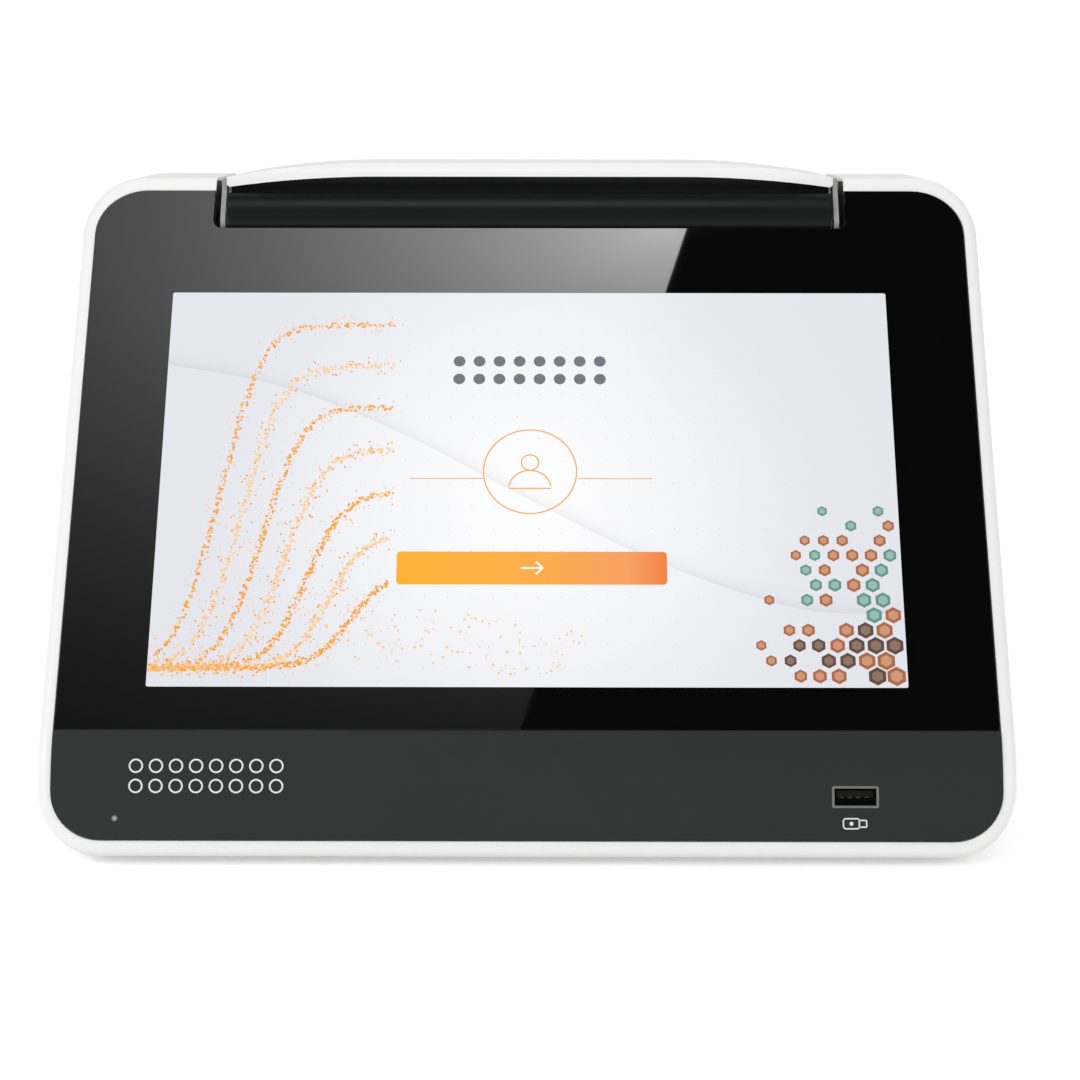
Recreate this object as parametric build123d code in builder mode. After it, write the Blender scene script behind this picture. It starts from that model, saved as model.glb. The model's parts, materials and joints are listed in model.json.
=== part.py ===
from build123d import *
from math import asin, atan2, cos, degrees, hypot, radians, sin, tan
import os

os.makedirs("parts", exist_ok=True)

# A bench-top real-time PCR instrument: a wedge-shaped case with a large sloping
# touch screen, a dark chin below it and a hinged lid over a 16-well sample block.
# Millimetres. +Z is up, the screen faces -Y, and the origin is on the table under
# the middle of the case.

# Driving dimensions of the case
body_width = 293.5
body_depth = 226.0
foot_height = 3.0
wall = 3.0
edge_radius = 19.0  # long edges of the case
rim_radius = 3.0  # front rim of the case
glass_slope = 43.0  # degrees from the table
chin_slope = 61.0
top_slope = 12.5  # the top falls towards the rear
glass_length = 190.0  # along the slope
chin_straight = 20.4
bend_radius = 40.0  # the chin curves into the plane of the glass
rim_margin = 4.7  # white rim left round the front plates
rim_below_chin = 6.9
plate_proud = 0.6  # front plates stand this far out of the rim
running_gap = 0.3

# Front plates
glass_thickness = 1.8
chin_thickness = 2.4
plate_gap = 0.25
plate_corner = 16.5
chin_corner = 15.0
notch_width = 207.0
notch_depth = 14.3
notch_corner = 2.6

# Display module
screen_width = 230.4
screen_height = 138.2
screen_from_top = 39.0  # glass top edge to the lit area
module_border = 6.0
module_thickness = 5.5
display_bracket_thickness = 1.2

# Lid
lid_gap = 2.0
lid_wall = 2.4
lid_crown = 5.0
lid_flat_half = 50.0  # flat middle of the arched lid
hinge_pin_radius = 2.0
pin_fit = 0.05
lid_bottom_z = 150.6

# Sample deck and block
deck_z = 148.0
deck_thickness = 2.5
block_y = 68.0
well_pitch = 9.0
well_columns = 8
well_rows = 2
well_top_radius = 3.1
well_bottom_radius = 1.4
well_depth = 14.5
block_length = 84.0
block_depth = 28.0
block_height = 20.0
block_top_z = 147.0
collar_width = 6.0  # at the ends of the block
collar_depth = 4.5  # before and behind it
peltier_thickness = 3.6

# Derived places on the side profile, as (y, z)
plate_width = body_width - 2 * rim_margin
half_bend = radians((chin_slope - glass_slope) / 2)
bend_tangent = bend_radius * tan(half_bend)
half_nose = radians(chin_slope / 2)
nose_reach = rim_radius / sin(half_nose) * cos(half_nose) - rim_radius


def along(point, angle, distance):
    """A point that far from the first one, at an angle above +Y."""
    return (
        point[0] + distance * cos(radians(angle)),
        point[1] + distance * sin(radians(angle)),
    )


def crossing(first, second):
    """Where two lines meet, each given as (point, angle)."""
    (y1, z1), a1 = first
    (y2, z2), a2 = second
    c1, s1, c2, s2 = cos(radians(a1)), sin(radians(a1)), cos(radians(a2)), sin(radians(a2))
    t = ((y2 - y1) * s2 - (z2 - z1) * c2) / (c1 * s2 - s1 * c2)
    return (y1 + t * c1, z1 + t * s1)


# Corner of the case's underside with the line of the chin, before it is rounded
nose = (-body_depth / 2 - nose_reach, foot_height)
rim_chin_low = along(nose, chin_slope, rim_below_chin)
chin_low = along(rim_chin_low, chin_slope + 90, plate_proud)
bend_corner = along(chin_low, chin_slope, chin_straight + bend_tangent)
glass_low = along(bend_corner, glass_slope, bend_tangent)
glass_high = along(glass_low, glass_slope, glass_length)
ridge = along(glass_high, glass_slope, rim_margin)
rear_y = body_depth / 2


def side_points(front_inset, inset):
    """Corners of the side profile, moved inwards: nose, bend, ridge, rear top, rear foot."""
    chin = (along(chin_low, chin_slope - 90, front_inset), chin_slope)
    glass = (along(glass_high, glass_slope - 90, front_inset), glass_slope)
    top = (along(ridge, -90 - top_slope, inset), -top_slope)
    rear = ((rear_y - inset, 0), 90)
    bottom = ((0, foot_height + inset), 0)
    return [
        crossing(bottom, chin),
        crossing(chin, glass),
        crossing(glass, top),
        crossing(top, rear),
        crossing(rear, bottom),
    ]


def case_block(front_inset, inset, rim):
    """The solid inside the case's skin, moved inwards by an inset, with rounded long edges."""
    half = body_width / 2 - inset
    corners = side_points(front_inset, inset)
    bend = bend_radius - front_inset
    with BuildPart() as block:
        with BuildSketch(Plane.YZ):
            with BuildLine():
                FilletPolyline(*corners, radius=[0, bend, 0, 0, 0], close=True)
            make_face()
        extrude(amount=half, both=True)
        rear_corners = [corners[3], corners[4]]
        long_lines = [
            (corners[2], corners[3]),
            (corners[3], corners[4]),
            (corners[4], corners[0]),
        ]
        chosen = []
        for edge in block.edges():
            centre = edge.center()
            for corner in rear_corners:
                if abs(centre.X) < 1 and hypot(centre.Y - corner[0], centre.Z - corner[1]) < 0.1:
                    chosen.append(edge)
            for low, high in long_lines:
                middle = ((low[0] + high[0]) / 2, (low[1] + high[1]) / 2)
                near = hypot(centre.Y - middle[0], centre.Z - middle[1]) < 0.1
                if near and abs(abs(centre.X) - half) < 0.1:
                    chosen.append(edge)
        fillet(chosen, radius=edge_radius - inset)
        if rim:
            fronts = [
                face
                for face in block.faces()
                if face.normal_at(face.center()).Y < -0.3 and abs(face.normal_at(face.center()).X) < 0.1
            ]
            seen = [edge for face in fronts for edge in face.edges()]
            outline = []
            for edge in seen:
                twins = [e for e in seen if (e.center() - edge.center()).length < 1e-4]
                if len(twins) == 1:
                    outline.append(edge)
            fillet(outline, radius=rim)
    return block.part


glass_plane = Plane(
    origin=(0, glass_low[0], glass_low[1]),
    x_dir=(1, 0, 0),
    z_dir=(0, -sin(radians(glass_slope)), cos(radians(glass_slope))),
)
chin_plane = Plane(
    origin=(0, chin_low[0], chin_low[1]),
    x_dir=(1, 0, 0),
    z_dir=(0, -sin(radians(chin_slope)), cos(radians(chin_slope))),
)


def glass_outline(grow):
    """The notched outline of the front glass, in the plane of the glass."""
    half = plate_width / 2 + grow
    top = glass_length + grow
    notch_half = notch_width / 2 - grow
    floor = glass_length - notch_depth + grow
    with BuildSketch(mode=Mode.PRIVATE) as outline:
        with BuildLine():
            FilletPolyline(
                (-half, 0),
                (half, 0),
                (half, top),
                (notch_half, top),
                (notch_half, floor),
                (-notch_half, floor),
                (-notch_half, top),
                (-half, top),
                radius=[0, 0, plate_corner, 0, notch_corner, notch_corner, 0, plate_corner],
                close=True,
            )
        make_face()
    return outline.sketch


def chin_profile(outer, inner, below):
    """Side section of the chin, between two depths below the face of the plates."""
    bend_centre = along(glass_low, glass_slope - 90, bend_radius)
    bend_start = along(chin_low, chin_slope, chin_straight)

    def stretch(depth):
        low = along(along(chin_low, chin_slope - 90, depth), chin_slope, -below)
        start = along(bend_start, chin_slope - 90, depth)
        middle = along(bend_centre, (chin_slope + glass_slope) / 2 + 90, bend_radius - depth)
        high = along(glass_low, glass_slope - 90, depth)
        return low, start, middle, high

    low_out, start_out, middle_out, high_out = stretch(outer)
    low_in, start_in, middle_in, high_in = stretch(inner)
    with BuildSketch(Plane.YZ, mode=Mode.PRIVATE) as profile:
        with BuildLine():
            Line(low_out, start_out)
            ThreePointArc(start_out, middle_out, high_out)
            Line(high_out, high_in)
            ThreePointArc(high_in, middle_in, start_in)
            Line(start_in, low_in)
            Line(low_in, low_out)
        make_face()
    return profile.sketch


def prism(corners, half):
    """A side outline, as (y, z) corners, extruded both ways along X."""
    with BuildPart() as block:
        with BuildSketch(Plane.YZ):
            with BuildLine():
                Polyline(*corners, close=True)
            make_face()
        extrude(amount=half, both=True)
    return block.part


def slab(low, high):
    """A plain block between two corners."""
    size = [high[i] - low[i] for i in range(3)]
    with BuildPart(Plane.XY.offset(low[2])) as block:
        with Locations(((low[0] + high[0]) / 2, (low[1] + high[1]) / 2, 0)):
            Box(*size, align=(Align.CENTER, Align.CENTER, Align.MIN))
    return block.part


def drill(planes, radius, up, down):
    """Cuts round holes through the part being built, from above each plane to below it."""
    for plane in planes:
        with BuildSketch(plane.offset(up)) as ring:
            Circle(radius)
        extrude(ring.sketch, amount=-(up + down), mode=Mode.SUBTRACT)


def posts(planes, radius, up, down):
    """Adds round posts to the part being built."""
    for plane in planes:
        with BuildSketch(plane.offset(up)) as ring:
            Circle(radius)
        extrude(ring.sketch, amount=-(up + down))


def screw_group(planes, shank_radius, length, head_height):
    """Button-head screws with a hexagon socket, heads standing on the planes."""
    head_radius = shank_radius * 1.8
    with BuildPart() as group:
        for plane in planes:
            with BuildSketch(plane):
                Circle(head_radius)
            extrude(amount=head_height)
            with BuildSketch(plane):
                Circle(shank_radius)
            extrude(amount=-length)
            with BuildSketch(plane.offset(head_height)):
                RegularPolygon(shank_radius * 0.8, 6)
            extrude(amount=-head_height * 0.6, mode=Mode.SUBTRACT)
    return group.part


def on_glass(x, s, depth):
    """A plane parallel to the glass, that far up the slope and below its face."""
    y, z = along(along(glass_low, glass_slope, s), glass_slope - 90, depth)
    return Plane(origin=(x, y, z), x_dir=(1, 0, 0), z_dir=glass_plane.z_dir)


def on_chin(x, t, depth):
    """A plane parallel to the chin, that far above its low edge and below its face."""
    y, z = along(along(chin_low, chin_slope, t), chin_slope - 90, depth)
    return Plane(origin=(x, y, z), x_dir=(1, 0, 0), z_dir=chin_plane.z_dir)


# Main housing
notch_floor = along(glass_low, glass_slope, glass_length - notch_depth)
notch_half = notch_width / 2
plate_half = plate_width / 2
liner_thickness = 2.2
deck_ledge_thickness = 2.0
deck_ledge_width = 7.5
deck_ledge_front = 5.5
deck_ledge_rear = 2.8
deck_low_z = deck_z - deck_thickness
ledge_low_z = deck_low_z - deck_ledge_thickness
lid_half = notch_half - lid_gap
deck_front_y = along(notch_floor, glass_slope - 90, glass_thickness)[0]

# Hinge of the lid, inside the rounded rear edge of the case
round_centre = crossing(
    (along(ridge, -90 - top_slope, edge_radius), -top_slope),
    ((rear_y - edge_radius, 0), 90),
)
hinge_turn = 50.0
barrel_radius = 7.0
hinge_axis = along(round_centre, hinge_turn, edge_radius - barrel_radius)
trough_gap = 1.9
deck_rear_y = hinge_axis[0] - barrel_radius - trough_gap - 1.8
trough_floor_z = hinge_axis[1] - barrel_radius - trough_gap
trough_wall = 2.0
shelf_thickness = 1.8
rear_inner_y = rear_y - wall
rear_cut_z = trough_floor_z + 0.7

# Display module behind the glass
adhesive = 0.2
module_front = glass_thickness + adhesive
module_back = module_front + module_thickness
module_half = screen_width / 2 + module_border
module_top_s = glass_length - screen_from_top + module_border
module_low_s = module_top_s - screen_height - 2 * module_border
display_gap = 1.0
bracket_half = module_half + 12.8
bracket_low_s = module_low_s - 5.0
bracket_high_s = module_top_s - 4.0
bracket_screw_x = module_half + 8.5
bracket_screw_s = (bracket_low_s + 6, (bracket_low_s + bracket_high_s) / 2, bracket_high_s - 6)
bracket_back = module_back + display_bracket_thickness
display_screw_length = 5.5
bracket_planes = [
    on_glass(x, s, bracket_back) for x in (-bracket_screw_x, bracket_screw_x) for s in bracket_screw_s
]
bracket_planes_out = [
    Plane(origin=plane.origin, x_dir=(1, 0, 0), z_dir=-plane.z_dir) for plane in bracket_planes
]

# Openings of the base and the rear
base_half = 116.0
base_front_y = -96.0
base_rear_y = 88.0
base_lap = 8.0
base_thickness = 2.0
base_skirt = 2.0
base_floor_z = foot_height + wall
base_screw_x = base_half + base_lap / 2
base_screw_y = (-80.0, -25.0, 30.0, 78.0)
base_planes = [
    Plane(origin=(x, y, foot_height + 2.0), x_dir=(1, 0, 0), z_dir=(0, 0, -1))
    for x in (-base_screw_x, base_screw_x)
    for y in base_screw_y
]
rear_half = 113.0
rear_low_z = 31.0
rear_high_z = 129.0
rear_lap = 4.5
panel_thickness = 1.5
panel_inner_y = rear_inner_y - panel_thickness
rear_screw_planes = [
    Plane(origin=(x, panel_inner_y, z), x_dir=(1, 0, 0), z_dir=(0, -1, 0))
    for x in (-rear_half - rear_lap / 2 + 0.2, 0.0, rear_half + rear_lap / 2 - 0.2)
    for z in (rear_low_z - rear_lap / 2, rear_high_z + rear_lap / 2)
]

# Front socket and status light, on the chin
usb_x = 98.1
usb_t = 13.1
usb_opening_width = 12.5
usb_opening_height = 5.12
usb_shell_wall = 0.4
usb_shell_depth = 14.0
usb_lip_width = 14.0
usb_lip_height = 6.5
light_x = -122.8
light_t = 6.4
light_radius = 1.0
light_length = 7.0
light_fit = 0.05

outer_case = case_block(plate_proud, 0, rim_radius)
inner_case = case_block(plate_proud + wall, wall, 0)

lid_slot = prism(
    [
        (deck_front_y, deck_low_z),
        along(notch_floor, glass_slope - 90, glass_thickness),
        notch_floor,
        (notch_floor[0], 220),
        (rear_y + 30, 220),
        (rear_y + 30, rear_cut_z),
        (rear_inner_y, rear_cut_z),
        (rear_inner_y, trough_floor_z),
        (deck_rear_y + trough_wall, trough_floor_z),
        (deck_rear_y + trough_wall, deck_z),
        (deck_rear_y, deck_z),
        (deck_rear_y, deck_low_z),
    ],
    notch_half,
)

with BuildPart() as glass_pocket:
    with BuildSketch(glass_plane.offset(6)):
        add(glass_outline(plate_gap))
    extrude(amount=-(6 + glass_thickness))


def chin_blank(outer, inner, gap):
    """A chin-shaped plate with rounded lower corners, grown by a gap."""
    with BuildPart() as blank:
        extrude(chin_profile(outer, inner, gap), amount=plate_half + gap, both=True)
        with BuildSketch(chin_plane.offset(20)) as outline:
            with BuildLine():
                FilletPolyline(
                    (-plate_half - gap, -gap),
                    (plate_half + gap, -gap),
                    (plate_half + gap, 80),
                    (-plate_half - gap, 80),
                    radius=[chin_corner, chin_corner, 0, 0],
                    close=True,
                )
            make_face()
        extrude(outline.sketch, amount=-60, mode=Mode.INTERSECT)
    return blank.part


chin_pocket = chin_blank(-3, chin_thickness, plate_gap)

with BuildPart() as slot_liner:
    for side in (-1, 1):
        near = side * notch_half
        far = side * (notch_half + liner_thickness)
        add(
            slab(
                (min(near, far), deck_front_y - liner_thickness, trough_floor_z - shelf_thickness),
                (max(near, far), rear_y - 1, 200),
            )
        )
    add(
        slab(
            (-notch_half - 1, deck_front_y - liner_thickness, ledge_low_z),
            (notch_half + 1, deck_front_y, 200),
        )
    )
    add(
        slab(
            (-notch_half - 1, deck_front_y - liner_thickness, ledge_low_z),
            (notch_half + 1, deck_rear_y + trough_wall, deck_low_z),
        )
    )
    add(
        slab(
            (
                -notch_half + deck_ledge_width,
                deck_front_y + deck_ledge_front,
                ledge_low_z,
            ),
            (notch_half - deck_ledge_width, deck_rear_y - deck_ledge_rear, deck_low_z),
        ),
        mode=Mode.SUBTRACT,
    )
    add(
        slab(
            (-notch_half - 1, deck_rear_y, trough_floor_z - shelf_thickness),
            (notch_half + 1, deck_rear_y + trough_wall, deck_z),
        )
    )
    add(
        slab(
            (-notch_half - 1, deck_rear_y, trough_floor_z - shelf_thickness),
            (notch_half + 1, rear_inner_y + 0.5, trough_floor_z),
        )
    )
    add(outer_case, mode=Mode.INTERSECT)

hinge_planes = [
    Plane(
        origin=(side * (notch_half + liner_thickness), *hinge_axis),
        x_dir=(0, 1, 0),
        z_dir=(side, 0, 0),
    )
    for side in (-1, 1)
]
bracket_plate = 3.0
hinge_screw_planes = [
    Plane(
        origin=(side * (notch_half + liner_thickness + bracket_plate), hinge_axis[0] + y, hinge_axis[1] - 9.0),
        x_dir=(0, 1, 0),
        z_dir=(side, 0, 0),
    )
    for side in (-1, 1)
    for y in (-4.5, 4.5)
]
vent_pitch = 7.0
vent_count = 7
vent_width = 3.0
vent_height = 34.0
vent_y = 58.0
vent_z = 46.0
deck_screw_radius = 1.5
deck_screw_planes = [
    Plane(origin=(x, y, deck_z), x_dir=(1, 0, 0), z_dir=(0, 0, 1))
    for x in (-notch_half + 4.0, notch_half - 4.0)
    for y in (deck_front_y + 4.0, (deck_front_y + deck_rear_y) / 2, deck_rear_y - 4.0)
]

with BuildPart() as main_housing:
    add(outer_case)
    add(inner_case, mode=Mode.SUBTRACT)
    add(slot_liner.part)
    for plane in bracket_planes:
        with BuildSketch(plane.offset(display_bracket_thickness)) as boss:
            Circle(3.2)
        extrude(boss.sketch, amount=module_back - plate_proud - wall + 0.5)
    add(lid_slot, mode=Mode.SUBTRACT)
    add(glass_pocket.part, mode=Mode.SUBTRACT)
    add(chin_pocket, mode=Mode.SUBTRACT)
    # Window for the display module
    with BuildSketch(on_glass(0, (module_low_s + module_top_s) / 2, 0)):
        RectangleRounded(
            2 * (module_half + display_gap),
            module_top_s - module_low_s + 2 * display_gap,
            2.0,
        )
    extrude(amount=-(plate_proud + wall + 1), mode=Mode.SUBTRACT)
    # Underside opening, rear opening and vents
    with BuildSketch(Plane.XY.offset(foot_height - 1)):
        with Locations((0, (base_front_y + base_rear_y) / 2)):
            RectangleRounded(2 * base_half, base_rear_y - base_front_y, 6.0)
    extrude(amount=wall + 1, mode=Mode.SUBTRACT)
    with BuildSketch(Plane.XZ.offset(-rear_y - 1)):
        with Locations((0, (rear_low_z + rear_high_z) / 2)):
            RectangleRounded(2 * rear_half, rear_high_z - rear_low_z, 8.0)
    extrude(amount=wall + 1, mode=Mode.SUBTRACT)
    with BuildSketch(Plane.YZ):
        with Locations((vent_y, vent_z)):
            with GridLocations(vent_pitch, 1, vent_count, 1):
                SlotOverall(vent_height, vent_width, rotation=90)
    extrude(amount=body_width, both=True, mode=Mode.SUBTRACT)
    # Front socket, status light, hinge pins and screws
    with BuildSketch(on_chin(usb_x, usb_t, 0)):
        RectangleRounded(usb_lip_width + 0.3, usb_lip_height + 0.3, 0.8)
    extrude(amount=-10, mode=Mode.SUBTRACT)
    drill([on_chin(light_x, light_t, 0)], light_radius + light_fit, 1, 10)
    drill(hinge_planes, hinge_pin_radius + pin_fit, 1, liner_thickness + 1)
    drill(hinge_screw_planes, 1.25, 0, bracket_plate + liner_thickness + 1)
    drill(base_planes, 1.6, 0, 3)
    drill(base_planes, 3.0, 5, 0)
    drill(bracket_planes, 1.2, display_screw_length + 0.1, 0)
    drill(rear_screw_planes, 1.2, 0, panel_thickness + 2.0)
    drill(deck_screw_planes, 1.2, 0, deck_thickness + 1.5)
main_housing.part.label = "main_housing"
export_step(main_housing.part, "parts/main_housing.step")

# Front glass and chin
with BuildPart() as front_glass:
    with BuildSketch(glass_plane):
        add(glass_outline(0))
    extrude(amount=-glass_thickness)
    top_edges = front_glass.faces().sort_by(Axis((0, 0, 0), glass_plane.z_dir))[-1].edges()
    chamfer(top_edges, length=0.25)
front_glass.part.label = "front_glass"
export_step(front_glass.part, "parts/front_glass.step")

chin_solid = chin_blank(0, chin_thickness, 0)
usb_mouth_width = usb_lip_width + 0.1
usb_mouth_height = usb_lip_height + 0.1
with BuildPart() as chin_panel:
    add(chin_solid)
    with BuildSketch(on_chin(usb_x, usb_t, -1)):
        RectangleRounded(usb_mouth_width, usb_mouth_height, 0.7)
    extrude(amount=-10, mode=Mode.SUBTRACT)
    drill([on_chin(light_x, light_t, 0)], light_radius + light_fit, 1, 10)
chin_panel.part.label = "chin_panel"
export_step(chin_panel.part, "parts/chin_panel.step")

# Display module, its frame and its flat cable
module_centre_s = (module_low_s + module_top_s) / 2
module_length = module_top_s - module_low_s
with BuildPart() as display_panel:
    with BuildSketch(on_glass(0, module_centre_s, module_front)):
        RectangleRounded(2 * module_half, module_length, 1.5)
    extrude(amount=-module_thickness)
    with BuildSketch(on_glass(0, module_centre_s, module_back)):
        Rectangle(2 * module_half - 16, module_length - 16)
    extrude(amount=0.8, mode=Mode.SUBTRACT)
display_panel.part.label = "display_panel"
export_step(display_panel.part, "parts/display_panel.step")

with BuildPart() as display_bracket:
    with BuildSketch(on_glass(0, (bracket_low_s + bracket_high_s) / 2, module_back)):
        RectangleRounded(2 * bracket_half, bracket_high_s - bracket_low_s, 4.0)
        with GridLocations(100, 0, 2, 1):
            RectangleRounded(84, bracket_high_s - bracket_low_s - 46, 6.0, mode=Mode.SUBTRACT)
    extrude(amount=-display_bracket_thickness)
    drill(bracket_planes, 1.6, 2, 3)
display_bracket.part.label = "display_bracket"
export_step(display_bracket.part, "parts/display_bracket.step")

driver_length = 110.0
driver_width = 18.0
driver_thickness = 1.6
driver_s = bracket_low_s + 12.0
# Base tray with feet
chassis_floor_z = base_floor_z + base_thickness + 2.0
tray_boss_height = chassis_floor_z - base_floor_z - base_thickness
chassis_half = 75.0
chassis_thickness = 1.5
chassis_front_y = 16.0
chassis_rear_y = 90.0
chassis_planes = [
    Plane(origin=(x, y, chassis_floor_z + chassis_thickness), x_dir=(1, 0, 0), z_dir=(0, 0, 1))
    for x in (-chassis_half + 9, chassis_half - 9)
    for y in (chassis_front_y + 9, chassis_rear_y - 9)
]
board_width = 124.0
board_depth = 78.0
board_y = -38.0
board_thickness = 1.6
board_z = base_floor_z + base_thickness + 6.0
board_planes = [
    Plane(origin=(x, y, board_z + board_thickness), x_dir=(1, 0, 0), z_dir=(0, 0, 1))
    for x in (-board_width / 2 + 4, board_width / 2 - 4)
    for y in (board_y - board_depth / 2 + 4, board_y + board_depth / 2 - 4)
]
supply_x = -98.0
supply_y = 10.0
supply_width = 34.0
supply_length = 110.0
supply_height = 30.0
tray_vent_pitch = 8.0
foot_radius = 8.5
foot_x = 104.0
foot_front_y = -84.0
foot_rear_y = 76.0
foot_places = [(x, y) for x in (-foot_x, foot_x) for y in (foot_front_y, foot_rear_y)]
with BuildPart() as base_tray:
    with BuildSketch(Plane.XY.offset(base_floor_z)):
        with Locations((0, (base_front_y + base_rear_y) / 2)):
            RectangleRounded(
                2 * (base_half + base_lap),
                base_rear_y - base_front_y + 2 * (base_lap - 2.5),
                6.0,
            )
    extrude(amount=base_thickness)
    with BuildSketch(Plane.XY.offset(base_floor_z)):
        with Locations((0, (base_front_y + base_rear_y) / 2)):
            RectangleRounded(
                2 * (base_half - running_gap),
                base_rear_y - base_front_y - 2 * running_gap,
                6.0 - running_gap,
            )
            offset(amount=-base_skirt, mode=Mode.SUBTRACT)
    extrude(amount=-(wall - 0.6))
    posts(chassis_planes, 3.5, -chassis_thickness, tray_boss_height + chassis_thickness)
    posts(board_planes, 3.0, -board_thickness, 6.0 + board_thickness)
    posts(base_planes, 3.0, -2.5, 6.5)
    with BuildSketch(Plane.XY.offset(base_floor_z - 1)):
        for y in (-76.0, 52.0):
            with Locations((0, y)):
                with GridLocations(tray_vent_pitch, 1, 15, 1):
                    SlotOverall(26, 3, rotation=90)
    extrude(amount=base_thickness + 2, mode=Mode.SUBTRACT)
    drill(chassis_planes, 1.5, 0, 12)
    drill(board_planes, 1.25, 0, 7)
    drill(base_planes, 1.5, 0, 12)
base_tray.part.label = "base_tray"
export_step(base_tray.part, "parts/base_tray.step")

with BuildPart() as feet:
    for place in foot_places:
        with BuildSketch():
            with Locations(place):
                Circle(foot_radius)
        extrude(amount=base_floor_z)
    low_edges = feet.edges().filter_by(GeomType.CIRCLE).group_by(Axis.Z)[0]
    chamfer(low_edges, length=0.8)
feet.part.label = "feet"
export_step(feet.part, "parts/feet.step")

# Rear panel with power inlet, switch and network socket
inlet_x = -95.0
inlet_z = 52.0
inlet_cut_width = 27.4
inlet_cut_height = 20.2
inlet_depth = 19.0
inlet_lip = 1.2
switch_z = 88.0
switch_cut_width = 12.9
switch_cut_height = 19.4
socket_x = 95.0
socket_z = 50.0
socket_width = 15.8
socket_height = 13.4
fan_size = 60.0
fan_z = 92.0
fan_depth = 15.0
fan_bore = 28.5
fan_hole_pitch = 50.0
fan_planes = [
    Plane(origin=(x, rear_inner_y, z), x_dir=(1, 0, 0), z_dir=(0, 1, 0))
    for x in (-fan_hole_pitch / 2, fan_hole_pitch / 2)
    for z in (fan_z - fan_hole_pitch / 2, fan_z + fan_hole_pitch / 2)
]
grille_pitch = 5.0
grille_hole = 2.1
panel_plane = Plane(origin=(0, rear_inner_y, 0), x_dir=(-1, 0, 0), z_dir=(0, 1, 0))
with BuildPart() as rear_panel:
    with BuildSketch(panel_plane):
        with Locations((0, (rear_low_z + rear_high_z) / 2)):
            RectangleRounded(
                2 * (rear_half + rear_lap),
                rear_high_z - rear_low_z + 2 * rear_lap,
                4.0,
            )
        with Locations((-inlet_x, inlet_z)):
            Rectangle(inlet_cut_width, inlet_cut_height, mode=Mode.SUBTRACT)
        with Locations((-inlet_x, switch_z)):
            Rectangle(switch_cut_width, switch_cut_height, mode=Mode.SUBTRACT)
        with Locations((-socket_x, socket_z)):
            Rectangle(socket_width + 0.2, socket_height + 0.2, mode=Mode.SUBTRACT)
    extrude(amount=-panel_thickness)
    rows = int(fan_bore // grille_pitch)
    with BuildSketch(panel_plane):
        for row in range(-rows, rows + 1):
            for column in range(-rows, rows + 1):
                if hypot(row, column) * grille_pitch < fan_bore - grille_hole - 0.5:
                    with Locations((column * grille_pitch, fan_z + row * grille_pitch)):
                        Circle(grille_hole)
    extrude(amount=-panel_thickness, mode=Mode.SUBTRACT)
    drill(fan_planes, 1.6, 1, 3)
    drill(rear_screw_planes, 1.2, 1, 3)
rear_panel.part.label = "rear_panel"
export_step(rear_panel.part, "parts/rear_panel.step")

inlet_plane = Plane(
    origin=(inlet_x, rear_inner_y + inlet_lip, inlet_z), x_dir=(-1, 0, 0), z_dir=(0, 1, 0)
)
pin_places = [(-7.0, -2.0), (7.0, -2.0), (0.0, 2.0)]
with BuildPart() as inlet_pins:
    with BuildSketch(panel_plane.offset(-inlet_depth - 6)):
        with Locations((-inlet_x, inlet_z)):
            with Locations(*pin_places):
                Rectangle(2.0, 4.0)
    extrude(amount=inlet_depth + 6 - 5.5)
inlet_pins.part.label = "inlet_pins"
export_step(inlet_pins.part, "parts/inlet_pins.step")

with BuildPart() as power_inlet:
    with BuildSketch(panel_plane):
        with Locations((-inlet_x, inlet_z)):
            RectangleRounded(31.0, 24.0, 2.5)
    extrude(amount=inlet_lip)
    with BuildSketch(panel_plane):
        with Locations((-inlet_x, inlet_z)):
            Rectangle(inlet_cut_width - 0.2, inlet_cut_height - 0.2)
    extrude(amount=-inlet_depth)
    with BuildSketch(inlet_plane):
        with BuildLine():
            FilletPolyline(
                (-12.2, -8.3),
                (12.2, -8.3),
                (12.2, 3.6),
                (7.5, 8.3),
                (-7.5, 8.3),
                (-12.2, 3.6),
                radius=1.5,
                close=True,
            )
        make_face()
    extrude(amount=-(inlet_depth - 1.5), mode=Mode.SUBTRACT)
    add(inlet_pins.part, mode=Mode.SUBTRACT)
power_inlet.part.label = "power_inlet"
export_step(power_inlet.part, "parts/power_inlet.step")

# Power switch: its rocker tips on a pin across the body
rocker_tilt = 10.0
rocker_half = 8.4
rocker_width = 10.0
rocker_pin_radius = 1.0
rocker_pivot_y = rear_inner_y - 1.6
switch_origin = (inlet_x, rocker_pivot_y, switch_z)
with BuildPart() as switch_body:
    with BuildSketch(panel_plane):
        with Locations((-inlet_x, switch_z)):
            RectangleRounded(15.2, 21.6, 1.5)
    extrude(amount=1.2)
    with BuildSketch(panel_plane):
        with Locations((-inlet_x, switch_z)):
            Rectangle(switch_cut_width - 0.2, switch_cut_height - 0.2)
    extrude(amount=-14.0)
    with BuildSketch(panel_plane.offset(1.2)):
        with Locations((-inlet_x, switch_z)):
            Rectangle(rocker_width + 2 * running_gap, 2 * (rocker_half + 0.75))
    extrude(amount=-8.6, mode=Mode.SUBTRACT)
    with BuildSketch(Plane(origin=switch_origin, x_dir=(0, 1, 0), z_dir=(1, 0, 0))):
        Circle(rocker_pin_radius + pin_fit)
    extrude(amount=6.0, both=True, mode=Mode.SUBTRACT)
switch_body.part.label = "switch_body"
export_step(switch_body.part, "parts/switch_body.step")

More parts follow.
